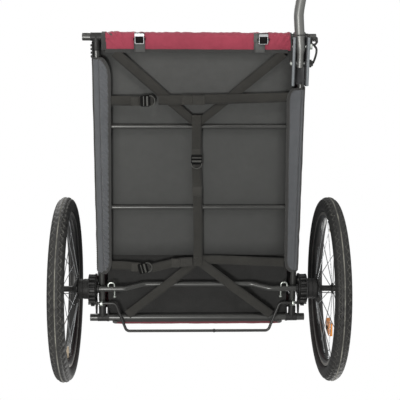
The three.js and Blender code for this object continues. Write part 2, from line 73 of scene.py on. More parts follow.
def level_frame():
    """The matrix from the level trailer (axle over Y = 0, wheels on z = 0) to the parked one."""
    front, rear = centre_of("cross_tube_front"), centre_of("cross_tube_rear")
    across = Vector((1, 0, 0))
    along = (rear - front).normalized()
    up = across.cross(along)
    low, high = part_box("tyre_left")
    axle = Vector((0, (low.y + high.y) / 2, (low.z + high.z) / 2))
    radius = (high.z - low.z) / 2
    turn = Matrix((across, along, up)).transposed().to_4x4()
    return Matrix.Translation(axle) @ turn @ Matrix.Translation((0, 0, -radius)), radius


LEVEL, WHEEL_R = level_frame()
TO_LEVEL = LEVEL.inverted()


def level_box(node):
    """A CAD node's lowest and highest corners in the level frame."""
    points = np.array([TO_LEVEL @ v.co for v in frame["nodes"][node].data.vertices])
    return Vector(points.min(0)), Vector(points.max(0))


def level_centre(node):
    """The middle of a CAD node's box in the level frame."""
    low, high = level_box(node)
    return (low + high) / 2


# ---------------------------------------------------------------- camera, lights and floor
CAMERA = {"pitch": 16.0, "yaw": 1.6, "reach": 2.254, "drop": 0.414, "aside": -0.0013, "fov": 25.43}


def make_camera():
    """The camera looks up at the floor of the trailer, from below and a little in front of it."""
    pitch, yaw = math.radians(CAMERA["pitch"]), math.radians(CAMERA["yaw"])
    right = Vector((math.cos(yaw), -math.sin(yaw) * math.sin(pitch), -math.sin(yaw) * math.cos(pitch)))
    down = Vector((0, math.cos(pitch), -math.sin(pitch)))
    ahead = right.cross(down)
    front = level_centre("cross_tube_front")
    place = front - ahead * CAMERA["reach"] + down * CAMERA["drop"] - right * CAMERA["aside"]
    data = bpy.data.cameras.new("camera")
    data.sensor_width = 36
    data.lens = data.sensor_width / 2 / math.tan(math.radians(CAMERA["fov"]) / 2)
    data.clip_start, data.clip_end = 0.05, 50
    camera = bpy.data.objects.new("camera", data)
    SCENE.collection.objects.link(camera)
    axes = Matrix((right, -down, -ahead)).transposed().to_4x4()
    camera.matrix_world = LEVEL @ Matrix.Translation(place) @ axes
    SCENE.camera = camera
    return camera


def make_stage():
    """A pale ground plane that lets the view from underneath through, and a near-white world."""
    half = 40.0
    mesh = bpy.data.meshes.new("ground")
    mesh.from_pydata([(-half, -half, 0), (half, -half, 0), (half, half, 0), (-half, half, 0)], [],
                     [(0, 1, 2, 3)])
    ground = bpy.data.objects.new("ground", mesh)
    SCENE.collection.objects.link(ground)
    material = bpy.data.materials.new("ground")
    material.use_nodes = True
    nodes, links = material.node_tree.nodes, material.node_tree.links
    shader = nodes["Principled BSDF"]
    shader.inputs["Base Color"].default_value = (0.8, 0.8, 0.79, 1)
    shader.inputs["Roughness"].default_value = 0.8
    clear = nodes.new("ShaderNodeBsdfTransparent")
    mix = nodes.new("ShaderNodeMixShader")
    geometry = nodes.new("ShaderNodeNewGeometry")
    links.new(geometry.outputs["Backfacing"], mix.inputs["Fac"])
    links.new(shader.outputs["BSDF"], mix.inputs[1])
    links.new(clear.outputs["BSDF"], mix.inputs[2])
    links.new(mix.outputs["Shader"], nodes["Material Output"].inputs["Surface"])
    mesh.materials.append(material)
    ground.visible_shadow = False

    SCENE.view_settings.view_transform = "Standard"
    world = bpy.data.worlds.new("studio")
    SCENE.world = world
    world.use_nodes = True
    nodes, links = world.node_tree.nodes, world.node_tree.links
    seen, glow = nodes["Background"], nodes.new("ShaderNodeBackground")
    for background, strength in ((seen, 1.0), (glow, 0.40)):
        background.inputs["Color"].default_value = (1, 1, 1, 1)
        background.inputs["Strength"].default_value = strength
    path, mix = nodes.new("ShaderNodeLightPath"), nodes.new("ShaderNodeMixShader")
    links.new(path.outputs["Is Camera Ray"], mix.inputs["Fac"])
    links.new(glow.outputs["Background"], mix.inputs[1])
    links.new(seen.outputs["Background"], mix.inputs[2])
    links.new(mix.outputs["Shader"], nodes["World Output"].inputs["Surface"])


def area_light(name, place, target, size, power):
    """A square lamp at place that faces target."""
    data = bpy.data.lights.new(name, "AREA")
    data.energy, data.size, data.color = power, size, (1, 0.99, 0.97)
    light = bpy.data.objects.new(name, data)
    SCENE.collection.objects.link(light)
    light.location = place
    light.rotation_mode = "QUATERNION"
    light.rotation_quaternion = (Vector(target) - Vector(place)).to_track_quat("-Z", "Y")
    return light


def make_lights():
    """Lamps under the trailer, since the underside faces the camera, and two above it."""
    area_light("below_rear", (-0.6, 0.7, -2.0), (0, -0.4, 0.3), 0.5, 40)
    area_light("below_front", (0.2, -1.7, -1.3), (0, -0.5, 0.3), 0.7, 17)
    area_light("below_side", (1.9, -0.6, -1.6), (0, -0.2, 0.3), 1.0, 10)
    area_light("above", (-1.5, -2.2, 3.0), (0, 0, 0.5), 2.0, 90)
    area_light("back", (1.5, 3.0, 2.4), (0, 0, 0.5), 2.0, 60)


make_camera()
make_stage()
make_lights()


# ---------------------------------------------------------------- materials
class Look:
    """A Principled material whose colour, roughness and bump are built up from procedural layers."""

    def __init__(self, name, color, rough, metal=0.0, **sockets):
        self.material = bpy.data.materials.new(name)
        self.material.use_nodes = True
        self.tree = self.material.node_tree
        self.shader = self.tree.nodes["Principled BSDF"]
        self.color, self.rough, self.heights = (*color, 1.0), rough, []
        self.shader.inputs["Metallic"].default_value = metal
        for socket, value in sockets.items():
            self.shader.inputs[socket.replace("_", " ")].default_value = value

    def node(self, kind, **inputs):
        made = self.tree.nodes.new("ShaderNode" + kind)
        for name, value in inputs.items():
            self.feed(made.inputs[name.replace("_", " ")], value)
        return made

    def feed(self, socket, value):
        if isinstance(value, bpy.types.NodeSocket):
            self.tree.links.new(value, socket)
        else:
            socket.default_value = value

    def math(self, operation, a, b=0.0):
        made = self.node("Math")
        made.operation = operation
        for socket, value in zip(made.inputs, (a, b)):
            self.feed(socket, value)
        return made.outputs[0]

    def coords(self, kind):
        return self.node("TexCoord").outputs[kind]

    def axis(self, index, kind="UV"):
        return self.node("SeparateXYZ", Vector=self.coords(kind)).outputs[index]

    def noise(self, scale, detail=4.0, stretch=(1, 1, 1)):
        place = self.node("Mapping", Vector=self.coords("Object"), Scale=stretch)
        made = self.node("TexNoise", Vector=place.outputs[0], Scale=scale, Detail=detail)
        return made.outputs[0]

    def band(self, value, low, high, to_low=0.0, to_high=1.0):
        made = self.node("MapRange", Value=value, From_Min=low, From_Max=high, To_Min=to_low,
                         To_Max=to_high)
        return made.outputs[0]

    def tint(self, fac, color):
        """Blends towards another colour where fac is 1."""
        mix = self.tree.nodes.new("ShaderNodeMix")
        mix.data_type = "RGBA"
        self.feed(mix.inputs["Factor"], fac)
        self.feed(mix.inputs["A"], self.color)
        self.feed(mix.inputs["B"], (*color, 1.0))
        self.color = mix.outputs["Result"]
        return self

    def shade(self, fac, low, high):
        """Makes the roughness run from low to high with fac."""
        self.rough = self.band(fac, 0.0, 1.0, low, high)
        return self

    def raise_by(self, height, distance):
        self.heights.append((height, distance))
        return self

    def done(self):
        self.feed(self.shader.inputs["Base Color"], self.color)
        self.feed(self.shader.inputs["Roughness"], self.rough)
        normal = None
        for height, distance in self.heights:
            bump = self.node("Bump", Height=height, Distance=distance)
            if normal:
                self.feed(bump.inputs["Normal"], normal)
            normal = bump.outputs[0]
        if normal:
            self.feed(self.shader.inputs["Normal"], normal)
        return self.material

    def ripple(self, value, pitch):
        """A sine wave of value, from -1 to 1, with the given pitch in metres."""
        return self.math("SINE", self.math("MULTIPLY", value, 2 * math.pi / pitch))

    def weave(self, pitch, distance, kind="UV", axes=(0, 1)):
        """A plain weave: threads that cross over and under in both directions."""
        across, along = (self.axis(i, kind) for i in axes)
        cross = self.math("MULTIPLY", self.ripple(across, pitch), self.ripple(along, pitch))
        return self.raise_by(cross, distance), cross


def times(color, k):
    """A darker or lighter colour."""
    return tuple(c * k for c in color)


def cloth_look(name, color, pitch=0.0011, sheen=0.25, rough=0.85, kind="UV", axes=(0, 1), worn=0.12):
    """A woven fabric: thread relief, darker gaps between threads, slow mottling and a soft sheen."""
    look = Look(name, color, rough, Sheen_Weight=sheen, Sheen_Roughness=0.6)
    look, cross = look.weave(pitch, 0.00015, kind, axes)
    dark = times(color, 0.62)
    light = tuple(min(1, c * 1.25) for c in color)
    look.tint(look.band(cross, 0.2, -1.0), dark)
    look.tint(look.band(look.noise(7, 5), 0.45, 0.75, 0, worn * 3), light)
    look.tint(look.band(look.noise(60, 3), 0.4, 0.8, 0, 0.35), dark)
    look.shade(look.noise(30, 3), rough - 0.1, min(1.0, rough + 0.08))
    look.raise_by(look.noise(220, 3), 0.0002)
    return look.done()


def floor_look(name, color):
    """The floor's coated fabric, with painted shade along the edges where it meets the rails and towards
    its rear.
    """
    look = Look(name, color, 0.78, Sheen_Weight=0.05, Sheen_Roughness=0.6)
    look, cross = look.weave(0.0012, 0.00015)
    look.tint(look.band(cross, 0.2, -1.0), times(color, 0.62))
    look.tint(look.band(look.noise(7, 5), 0.42, 0.75, 0, 0.3), times(color, 1.3))
    look.tint(look.band(look.noise(70, 4), 0.4, 0.8, 0, 0.35), times(color, 0.6))
    # Painted shade: darker within about 40 mm of both side edges, where the rails and flaps shade the
    # floor.
    edge = look.math("ABSOLUTE", look.math("SUBTRACT", look.axis(0), 0.248))
    look.tint(look.band(edge, 0.205, 0.236, 0, 0.62), times(color, 0.25))
    # Painted shade: the floor darkens from front to rear.
    look.tint(look.band(look.axis(1), 0.10, 0.56, 0, 0.75), times(color, 0.6))
    # Painted shade: a dark band along the rear edge, where the floor turns away towards the footwell.
    look.tint(look.band(look.axis(1), 0.535, 0.574, 0, 0.7), times(color, 0.2))
    look.shade(look.noise(30, 3), 0.66, 0.9)
    look.raise_by(look.noise(220, 3), 0.0002)
    return look.done()


def plain_thread_look(name, color):
    """Sewing thread, a little uneven in tone."""
    look = Look(name, color, 0.8)
    look.tint(look.band(look.noise(300, 2), 0.4, 0.7, 0, 0.6), times(color, 1.6))
    look.shade(look.noise(500, 2), 0.6, 0.9)
    return look.done()


def paint_look(name, color, rough, metal):
    """A sprayed coat: faint orange peel, slow tone changes and duller, dustier patches."""
    look = Look(name, color, rough, metal, Coat_Weight=0.15, Coat_Roughness=0.3)
    look.tint(look.band(look.noise(9, 4), 0.5, 0.8, 0, 0.5), times(color, 1.35))
    look.tint(look.band(look.noise(160, 5), 0.62, 0.75, 0, 0.35), times(color, 1.5))
    look.shade(look.noise(25, 4), rough - 0.08, rough + 0.12)
    look.raise_by(look.noise(700, 2), 0.00006)
    return look.done()


def plastic_look(name, color=(0.011, 0.011, 0.011), rough=0.5, specular=0.35):
    """Moulded plastic: a spark-eroded grain with scuffed, paler patches."""
    look = Look(name, color, rough, Specular_IOR_Level=specular)
    look.tint(look.band(look.noise(40, 5), 0.58, 0.8, 0, 0.45), tuple(c * 2.2 + 0.004 for c in color))
    look.shade(look.noise(90, 4), rough - 0.1, rough + 0.15)
    look.raise_by(look.noise(1600, 2), 0.00008)
    return look.done()


def metal_look(name, color, rough=0.28):
    """Zinc-plated or bare steel: fine brushing and slightly clouded plating."""
    look = Look(name, color, rough, 1.0)
    look.tint(look.band(look.noise(120, 4), 0.45, 0.8, 0, 0.4), times(color, 0.6))
    look.shade(look.noise(300, 4), rough - 0.08, rough + 0.18)
    look.raise_by(look.noise(900, 2, stretch=(1, 1, 6)), 0.00005)
    return look.done()


def webbing_look(name, color, width=0.025):
    """Polyamide webbing: a herringbone of ribs along the strap, painted shade along both edges and a worn
    face.
    """
    look = Look(name, color, 0.8, Sheen_Weight=0.06, Sheen_Roughness=0.5)
    along, across = look.axis(0), look.axis(1)
    zigzag = look.math("PINGPONG", across, 0.0022)
    ribs = look.ripple(look.math("ADD", along, zigzag), 0.0019)
    look.raise_by(ribs, 0.0002)
    look.tint(look.band(ribs, 0.3, -1.0), times(color, 0.55))
    # Painted shade: a dark line along both edges of the strap's face.
    edge = look.math("ABSOLUTE", look.math("SUBTRACT", across, width / 2))
    look.tint(look.band(edge, width / 2 - 0.0024, width / 2 - 0.0016, 0, 0.8), times(color, 0.35))
    look.tint(look.band(look.noise(22, 4), 0.5, 0.8, 0, 0.6), times(color, 1.45))
    look.shade(look.noise(50, 3), 0.68, 0.9)
    return look.done()


def tyre_look():
    """Rubber with a moulded centre line and zigzag cuts down both shoulders: a painted highlight along the
    cuts' edges, patchy like dust, painted shade outboard of them, and dust along the centre.
    """
    look = Look("tyre_rubber", (0.021, 0.021, 0.0205), 0.62)
    along, across = look.axis(0), look.math("ABSOLUTE", look.axis(1))
    zigzag = look.math("PINGPONG", along, 0.0105)
    cut = look.math("SUBTRACT", look.math("SUBTRACT", across, 0.0075), zigzag)
    near = look.math("ABSOLUTE", cut)
    look.raise_by(look.band(cut, -0.0006, 0.0006), 0.0016)
    dust_and_highlight = look.band(look.noise(35, 5), 0.36, 0.62)
    # Partly dust, partly painted highlight: the edges of the cuts lighter in patches.
    look.tint(look.math("MULTIPLY", look.band(near, 0.0013, 0.0005), look.band(dust_and_highlight, 0, 1, 0.35, 0.9)),
              (0.150, 0.147, 0.130))
    # Painted shade: darker outboard of the cuts, down the shoulders.
    look.tint(look.band(cut, 0.0012, 0.0060, 0.0, 0.55), (0.010, 0.010, 0.010))
    crown = look.band(across, 0.0016, 0.0008)
    look.tint(look.math("MULTIPLY", crown, look.band(dust_and_highlight, 0, 1, 0.35, 1.0)), (0.24, 0.235, 0.205))
    look.tint(look.band(look.noise(55, 5), 0.55, 0.8, 0, 0.4), (0.05, 0.048, 0.043))
    look.shade(look.noise(80, 3), 0.5, 0.75)
    look.raise_by(look.noise(900, 3), 0.0001)
    return look.done()


def braid_look():
    """A braided cord: two sets of strands that wind past each other."""
    look = Look("braided_cord", (0.016, 0.016, 0.016), 0.7)
    along, around = look.axis(0), look.axis(1)
    one = look.ripple(look.math("ADD", along, around), 0.0034)
    two = look.ripple(look.math("SUBTRACT", along, around), 0.0034)
    cross = look.math("MULTIPLY", one, two)
    look.raise_by(cross, 0.0007)
    look.tint(look.band(cross, 0.25, 0.9), (0.17, 0.17, 0.16))
    look.shade(look.noise(300, 2), 0.5, 0.8)
    return look.done()


def film_look(name, color, alpha):
    """Clear vinyl window film, slightly tinted, with faint haze and ripples."""
    look = Look(name, color, 0.12, Alpha=alpha, IOR=1.5)
    look.shade(look.noise(14, 3), 0.06, 0.22)
    look.raise_by(look.noise(11, 2), 0.0015)
    look.material.surface_render_method = "BLENDED"
    return look.done()


def foam_look():
    """The push handle's open-celled foam."""
    look = Look("grip_foam", (0.017, 0.017, 0.018), 0.9)
    look.tint(look.band(look.noise(500, 3), 0.45, 0.7, 0, 0.7), (0.045, 0.045, 0.045))
    look.shade(look.noise(120, 3), 0.8, 1.0)
    look.raise_by(look.noise(800, 4), 0.0004)
    return look.done()


def reflector_look():
    """Amber plastic over a field of small prisms."""
    look = Look("reflector_amber", (0.75, 0.2, 0.02), 0.12, Coat_Weight=0.8)
    prisms = look.node("TexVoronoi", Vector=look.coords("Object"), Scale=380.0).outputs["Distance"]
    look.raise_by(prisms, 0.0006)
    look.tint(look.band(prisms, 0.1, 0.6, 0, 0.6), (0.95, 0.42, 0.08))
    look.shade(look.noise(40, 2), 0.08, 0.2)
    return look.done()


LOOKS = {
    "tube": paint_look("tube_paint", (0.060, 0.061, 0.059), 0.3, 0.55),
    "drawbar": paint_look("drawbar_paint", (0.15, 0.153, 0.148), 0.42, 0.6),
    "zinc": metal_look("zinc", (0.62, 0.66, 0.62)),
    "steel": metal_look("spoke_steel", (0.32, 0.33, 0.34), 0.25),
    "plastic": plastic_look("plastic"),
    "bracket": plastic_look("bracket_plastic", (0.03, 0.031, 0.033), 0.42),
    "lip": plastic_look("bracket_lip", (0.16, 0.175, 0.185), 0.45),
    "rim": paint_look("rim_black", (0.008, 0.008, 0.008), 0.4, 0.1),
    "bead": metal_look("rim_edge", (0.3, 0.29, 0.27), 0.4),
    "tyre": tyre_look(),
    "foam": foam_look(),
    "amber": reflector_look(),
    "valve": plastic_look("valve_cap", (0.55, 0.45, 0.33), 0.5),
    "button": plastic_look("button_red", (0.42, 0.02, 0.02), 0.3),
    "floor": floor_look("floor_fabric", (0.062, 0.064, 0.062)),
    "rod": paint_look("rod_paint", (0.022, 0.022, 0.0215), 0.38, 0.3),
    # A darker copy of the burgundy for the rear strip, which faces away from the lamps: painted shade.
    "wine_painted_shade": cloth_look("burgundy_fabric_painted_shade", (0.155, 0.026, 0.036), 0.0009, 0.1, 0.85),
    "recess": cloth_look("rear_recess_fabric", (0.0155, 0.0155, 0.0150), 0.0012, 0.05, 0.9),
    "side": cloth_look("side_fabric", (0.080, 0.085, 0.093), 0.0014, 0.2, 0.85),
    "wine": cloth_look("burgundy_fabric", (0.31, 0.029, 0.060), 0.0009, 0.12, 0.8, worn=0.1),
    "seat": cloth_look("seat_fabric", (0.075, 0.076, 0.08), 0.0018, 0.35, 0.95, "Object", (0, 2)),
    "pad": cloth_look("pad_fabric", (0.05, 0.05, 0.054), 0.0016, 0.3, 0.95, "Object", (0, 1)),
    "trim": cloth_look("trim_tape", (0.022, 0.022, 0.021), 0.0008, 0.2, 0.85),
    "webbing": webbing_look("webbing", (0.022, 0.0212, 0.0178)),
    # A lighter copy of the webbing for the folded ends: painted light.
    "fold": webbing_look("webbing_fold_painted_light", (0.031, 0.030, 0.026), 0.026),
    "thread": cloth_look("seam_thread", (0.14, 0.14, 0.145), 0.0005, 0.2, 0.8, "Object"),
    "braid": braid_look(),
    "reflective": plastic_look("reflective_tape", (0.42, 0.43, 0.44), 0.32),
    "strap_thread": plain_thread_look("strap_thread", (0.062, 0.060, 0.052)),
    "dark_thread": plain_thread_look("dark_thread", (0.03, 0.03, 0.03)),
    "wine_thread": plain_thread_look("wine_thread", (0.30, 0.05, 0.08)),
    "tab": webbing_look("tab_webbing", (0.085, 0.088, 0.086), 0.0285),
    "chrome": metal_look("hook_plate", (0.36, 0.37, 0.38), 0.32),
    "rubber": plastic_look("black_rubber", (0.003, 0.003, 0.003), 0.7, 0.12),
    "buckle": plastic_look("buckle_plastic", (0.060, 0.061, 0.056), 0.34),
    "film": film_look("window_film", (0.32, 0.34, 0.36), 0.32),
    "mesh": film_look("fly_mesh", (0.02, 0.02, 0.02), 0.62),
}


SLOTS = {
    "plastic_black": ("plastic", "bracket", "lip", "valve", "braid", "rubber", "buckle"),
    "zinc": ("zinc", "steel", "bead", "chrome"),
    "tube_black": ("tube", "rod"),
    "drawbar_grey": ("drawbar",),
    "rim_black": ("rim",),
    "tyre": ("tyre",),
    "foam": ("foam",),
    "button_red": ("button", "amber"),
    "floor_fabric": ("floor", "recess", "dark_thread"),
    "side_fabric": ("side", "film", "mesh"),
    "burgundy_fabric": ("wine", "wine_painted_shade", "wine_thread"),
    "seat_fabric": ("seat", "pad"),
    "webbing": ("webbing", "fold", "tab", "trim", "thread", "strap_thread", "reflective"),
}
SLOT_OF = {look: slot for slot, looks in SLOTS.items() for look in looks}


# ---------------------------------------------------------------- geometry
SHARP = 0.7


def wrapped_quads(steps, around):
    """The faces of a surface that closes in both directions."""
    faces = []
    for i in range(steps):
        for j in range(around):
            a, b = i * around + j, i * around + (j + 1) % around
            c, d = (i + 1) % steps * around + (j + 1) % around, (i + 1) % steps * around + j
            faces.append((a, b, c, d))
    return faces


def two_sided_quads(rows, cols):
    """The faces of a grid's front and, wound the other way, of its back."""
    faces, count = [], rows * cols
    for i in range(rows - 1):
        for j in range(cols - 1):
            a, b = i * cols + j, i * cols + j + 1
            c, d = b + cols, a + cols
            faces += [(a, b, c, d), (count + d, count + c, count + b, count + a)]
    return faces


def prism_faces(n):
    """The faces between an outline of n points and its copy."""
    sides = [(i, (i + 1) % n, n + (i + 1) % n, n + i) for i in range(n)]
    return [tuple(range(n)), tuple(range(n, 2 * n)), *sides]


def solid(name, part, look, body="chassis"):
    """A mesh from part = (verts, faces, uvs): vertices in level metres, one (u, v) in metres for each."""
    verts, faces, uvs = part
    mesh = bpy.data.meshes.new(name)
    mesh.from_pydata([tuple(v) for v in verts], [], faces)
    if uvs:
        layer = mesh.uv_layers.new(name="UVMap")
        corners = np.empty(len(mesh.loops), dtype=np.int32)
        mesh.loops.foreach_get("vertex_index", corners)
        layer.data.foreach_set("uv", np.array(uvs, dtype=np.float32)[corners].ravel())
    mesh.transform(LEVEL)
    mesh.polygons.foreach_set("use_smooth", [True] * len(mesh.polygons))
    made = bpy.data.objects.new(name, mesh)
    SCENE.collection.objects.link(made)
    mesh.materials.append(LOOKS[look])
    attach(made, body)
    return made


def piece(name, part, look, body="chassis", nodes=(), slot=None):
    """A solid, standing for some CAD nodes."""
    made = solid(name, part, look, body)
    slot or SLOT_OF[look]
    if nodes:
        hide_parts(*nodes)
    return made


def joined(parts):
    """Several (verts, faces, uvs) as one."""
    verts, faces, uvs = [], [], []
    for part_verts, part_faces, part_uvs in parts:
        start = len(verts)
        verts += [Vector(v) for v in part_verts]
        faces += [tuple(i + start for i in f) for f in part_faces]
        uvs += list(part_uvs)
    return verts, faces, uvs


def fillet(corners, radius, steps=8):
    """The path through corners, each one rounded to an arc of the given radius."""
    corners = [Vector(c) for c in corners]
    path = [corners[0]]
    for a, b, c in zip(corners, corners[1:], corners[2:]):
        d1, d2 = (b - a).normalized(), (c - b).normalized()
        angle = d1.angle(d2)
        if angle < 1e-4:
            path.append(b)
            continue
        inward = (d2 - d1 * d1.dot(d2)).normalized()
        start = b - d1 * radius * math.tan(angle / 2)
        centre = start + inward * radius
        for i in range(steps + 1):
            t = angle * i / steps
            path.append(centre - inward * radius * math.cos(t) + d1 * radius * math.sin(t))
    path.append(corners[-1])
    return path


def smooth_path(points, steps=8):
    """A Catmull-Rom curve through points."""
    p = [Vector(q) for q in points]
    p = [2 * p[0] - p[1], *p, 2 * p[-1] - p[-2]]
    path = []
    for a, b, c, d in zip(p, p[1:], p[2:], p[3:]):
        for i in range(steps):
            t = i / steps
            path.append(0.5 * (2 * b + (c - a) * t + (2 * a - 5 * b + 4 * c - d) * t * t
                               + (3 * b - a - 3 * c + d) * t ** 3))
    return [*path, p[-2]]


def arc(centre, r, start, end, steps):
    """Points on a circle from one angle to another, in degrees, with both ends."""
    angles = [math.radians(start + (end - start) * i / steps) for i in range(steps + 1)]
    return [(centre[0] + r * math.cos(t), centre[1] + r * math.sin(t)) for t in angles]


def circle(r, sides=24):
    """A round section."""
    return [(r * math.cos(2 * math.pi * i / sides), r * math.sin(2 * math.pi * i / sides))
            for i in range(sides)]


def strap_section(width, thick, corner_steps=2):
    """A flat strap's outline: a rectangle with its edges rounded."""
    half_w, half_t = width / 2 - thick / 2, thick / 2
    points = []
    for side, start in ((1, -math.pi / 2), (-1, math.pi / 2)):
        for i in range(2 * corner_steps + 1):
            t = start + math.pi * i / (2 * corner_steps)
            points.append((side * half_w + half_t * math.cos(t), half_t * math.sin(t)))
    return points


def sweep(path, section, up=(0, 0, 1), closed=False, scale=None):
    """A closed section of (side, up) points carried along a path; u runs along it and v around it."""
    path = [Vector(p) for p in path]
    count, sides = len(path), len(section)
    tangents = []
    for i in range(count):
        a = path[i - 1] if i or closed else path[0]
        b = path[(i + 1) % count] if i + 1 < count or closed else path[-1]
        tangents.append((b - a).normalized())
    normal = Vector(up)
    normals = []
    for tangent in tangents:
        normal = (normal - tangent * normal.dot(tangent)).normalized()
        normals.append(normal)
    around = [0.0]
    for a, b in zip(section, section[1:]):
        around.append(around[-1] + math.dist(a, b))
    verts, uvs, along = [], [], 0.0
    for i, (point, tangent, normal) in enumerate(zip(path, tangents, normals)):
        along += (point - path[i - 1]).length if i else 0.0
        side = tangent.cross(normal)
        k = scale[i] if scale else 1.0
        for (a, b), v in zip(section, around):
            verts.append(point + side * a * k + normal * b * k)
            uvs.append((along, v))
    faces = []
    for i in range(count if closed else count - 1):
        for j in range(sides):
            a, b = i * sides + j, i * sides + (j + 1) % sides
            c, d = (i + 1) % count * sides + (j + 1) % sides, (i + 1) % count * sides + j
            faces.append((a, d, c, b))
    if not closed:
        faces.append(tuple(range(sides)))
        faces.append(tuple(range((count - 1) * sides, count * sides))[::-1])
    return verts, faces, uvs


def revolve(profile, centre=(0, 0), steps=48, flip=1):
    """A closed profile of (radius, x) points turned about the X axis through centre (y, z)."""
    verts, uvs = [], []
    for i in range(steps):
        t = 2 * math.pi * i / steps
        for r, x in profile:
            verts.append((flip * x, centre[0] + r * math.sin(t) * flip, centre[1] + r * math.cos(t)))
            uvs.append((t * 0.25, r))
    return verts, wrapped_quads(steps, len(profile)), uvs


def ribbon(path, width, thick=0.0016, up=(0, 0, 1), scale=None):
    """A flat strap along a path."""
    return sweep(path, strap_section(width, thick), up, scale=scale)


def prism(outline, axis, low, high):
    """An outline of two coordinates, given a thickness along axis 0, 1 or 2."""
    order = {0: lambda a, b, h: (h, a, b), 1: lambda a, b, h: (a, h, b), 2: lambda a, b, h: (a, b, h)}
    verts = [order[axis](a, b, h) for h in (low, high) for a, b in outline]
    return verts, prism_faces(len(outline)), [(v[0] + v[2] * 0.3, v[1] + v[2] * 0.7) for v in verts]


def applied(obj):
    """obj with its modifiers made part of its mesh."""
    bpy.context.view_layer.update()
    mesh = bpy.data.meshes.new_from_object(obj.evaluated_get(bpy.context.evaluated_depsgraph_get()))
    obj.modifiers.clear()
    obj.data = mesh
    return obj


def outward(obj):
    """obj with its faces turned outwards."""
    edit = bmesh.new()
    edit.from_mesh(obj.data)
    bmesh.ops.recalc_face_normals(edit, faces=edit.faces)
    edit.to_mesh(obj.data)
    edit.free()
    return obj


def bevelled(obj, width, segments=2):
    """Rounds off every edge that is sharper than about 34 degrees."""
    outward(obj)
    bevel = obj.modifiers.new("bevel", "BEVEL")
    bevel.width, bevel.segments = width, segments
    bevel.limit_method, bevel.angle_limit = "ANGLE", 0.6
    applied(obj)
    obj.data.set_sharp_from_angle(angle=SHARP)
    return obj


def bored(obj, *tools):
    """Cuts other objects out of obj and deletes them."""
    outward(obj)
    for tool in tools:
        outward(tool)
        cut = obj.modifiers.new("cut", "BOOLEAN")
        cut.operation, cut.solver, cut.object = "DIFFERENCE", "EXACT", tool
    applied(obj)
    for tool in tools:
        bpy.data.objects.remove(tool)
    return obj


def box_mesh(low, high):
    """A plain block between two corners."""
    x0, y0, z0 = low
    x1, y1, z1 = high
    return prism([(x0, y0), (x1, y0), (x1, y1), (x0, y1)], 2, z0, z1)


def rounded_outline(half_x, half_y, r):
    """A rectangle around the origin with rounded corners."""
    x, y = half_x - r, half_y - r
    corners = ((x, y), (-x, y), (-x, -y), (x, -y))
    return [p for i, corner in enumerate(corners) for p in arc(corner, r, 90 * i, 90 * i + 90, 6)]


# ---------------------------------------------------------------- base frame, from the CAD boxes
FRONT, REAR = level_centre("cross_tube_front"), level_centre("cross_tube_rear")
CROSS_LOW, CROSS_HIGH = level_box("cross_tube_front")
CROSS_R = (CROSS_HIGH.z - CROSS_LOW.z) / 2
CROSS_HALF = CROSS_HIGH.x
RAIL = level_centre("side_rail_left")
RAIL_R = level_box("side_rail_left")[1].x - RAIL.x
AXLE_Z = WHEEL_R
SIDES = (("left", 1), ("right", -1))
TUBE_SIDES = 32


def make_cross_tubes():
    """Tubes with open, slightly chamfered ends."""
    wall, depth, chamfer = 0.0016, 0.045, 0.0005
    for name, at in (("cross_tube_front", FRONT), ("cross_tube_rear", REAR)):
        end, inner, core = CROSS_HALF, CROSS_R - wall, 0.0004
        half = [(CROSS_R, end - chamfer), (CROSS_R - chamfer, end), (inner + chamfer, end),
                (inner, end - chamfer), (inner, end - depth), (core, end - depth)]
        profile = half + [(r, -x) for r, x in reversed(half)]
        joined_piece(name + "_tube", [revolve(profile, (at.y, at.z), TUBE_SIDES)], "tube",
                     nodes=[name])


def round_bar(name, path, radius, body="chassis", nodes=(), up=(0, 0, 1)):
    """A black round bar along a path, its ends lightly domed."""
    dome = 0.0006
    path = [Vector(p) for p in path]
    first, last = (path[0] - path[1]).normalized(), (path[-1] - path[-2]).normalized()
    path = [path[0], path[0] - first * dome, *path[1:-1], path[-1] - last * dome, path[-1]]
    scale = [1 - dome / radius] + [1.0] * (len(path) - 2) + [1 - dome / radius]
    bar = sweep(path, circle(radius, TUBE_SIDES), up, scale=scale)
    return joined_piece(name, [bar], "tube", body, nodes=nodes)


def joined_piece(name, parts, look, body="chassis", nodes=(), slot=None, bevel=0.0):
    """One named piece from several (verts, faces, uvs), with crisp edges, or with a bevel."""
    made = outward(piece(name, joined(parts), look, body, nodes, slot))
    if bevel:
        bevelled(made, bevel)
    made.data.set_sharp_from_angle(angle=SHARP)
    return made


def disc(x0, x1, y, z, r, sides=32, edge=0.0008):
    """A short solid cylinder along X with eased edges, as (verts, faces, uvs)."""
    low, high = min(x0, x1), max(x0, x1)
    path = [(low, y, z), (low + edge, y, z), (high - edge, y, z), (high, y, z)]
    k = 1 - edge / r
    return sweep(path, circle(r, sides), scale=[k, 1, 1, k])


def make_rails_and_bars():
    """The side rails and the floor's two crossbars."""
    for side, s in SIDES:
        low, high = level_box(f"side_rail_{side}")
        round_bar(f"side_rail_{side}_tube", [(s * RAIL.x, low.y, RAIL.z), (s * RAIL.x, high.y, RAIL.z)],
                  RAIL_R, nodes=[f"side_rail_{side}"])
    for name in ("crossbar_front", "crossbar_rear"):
        low, high = level_box(name)
        at, radius = (low + high) / 2, (high.z - low.z) / 2
        round_bar(name + "_tube", [(low.x, at.y, at.z), (high.x, at.y, at.z)], radius, nodes=[name])


def strap_outline(a, ra, b, rb, steps=10):
    """The outline around two circles, as a plate with two bosses has."""
    along = math.degrees(math.atan2(b[1] - a[1], b[0] - a[0]))
    tilt = math.degrees(math.acos((ra - rb) / math.dist(a, b)))
    return (arc(b, rb, along - tilt, along + tilt, steps)
            + arc(a, ra, along + tilt, along + 360 - tilt, steps))


def hinge_of(joint):
    """A joint's pivot in the level frame."""
    found = next(j for j in frame["joints"] if j["name"] == joint)
    return TO_LEVEL @ Vector(found["pos_m"])


HINGES = {"front": hinge_of("front_hoop_fold"), "rear": hinge_of("cabin_fold")}


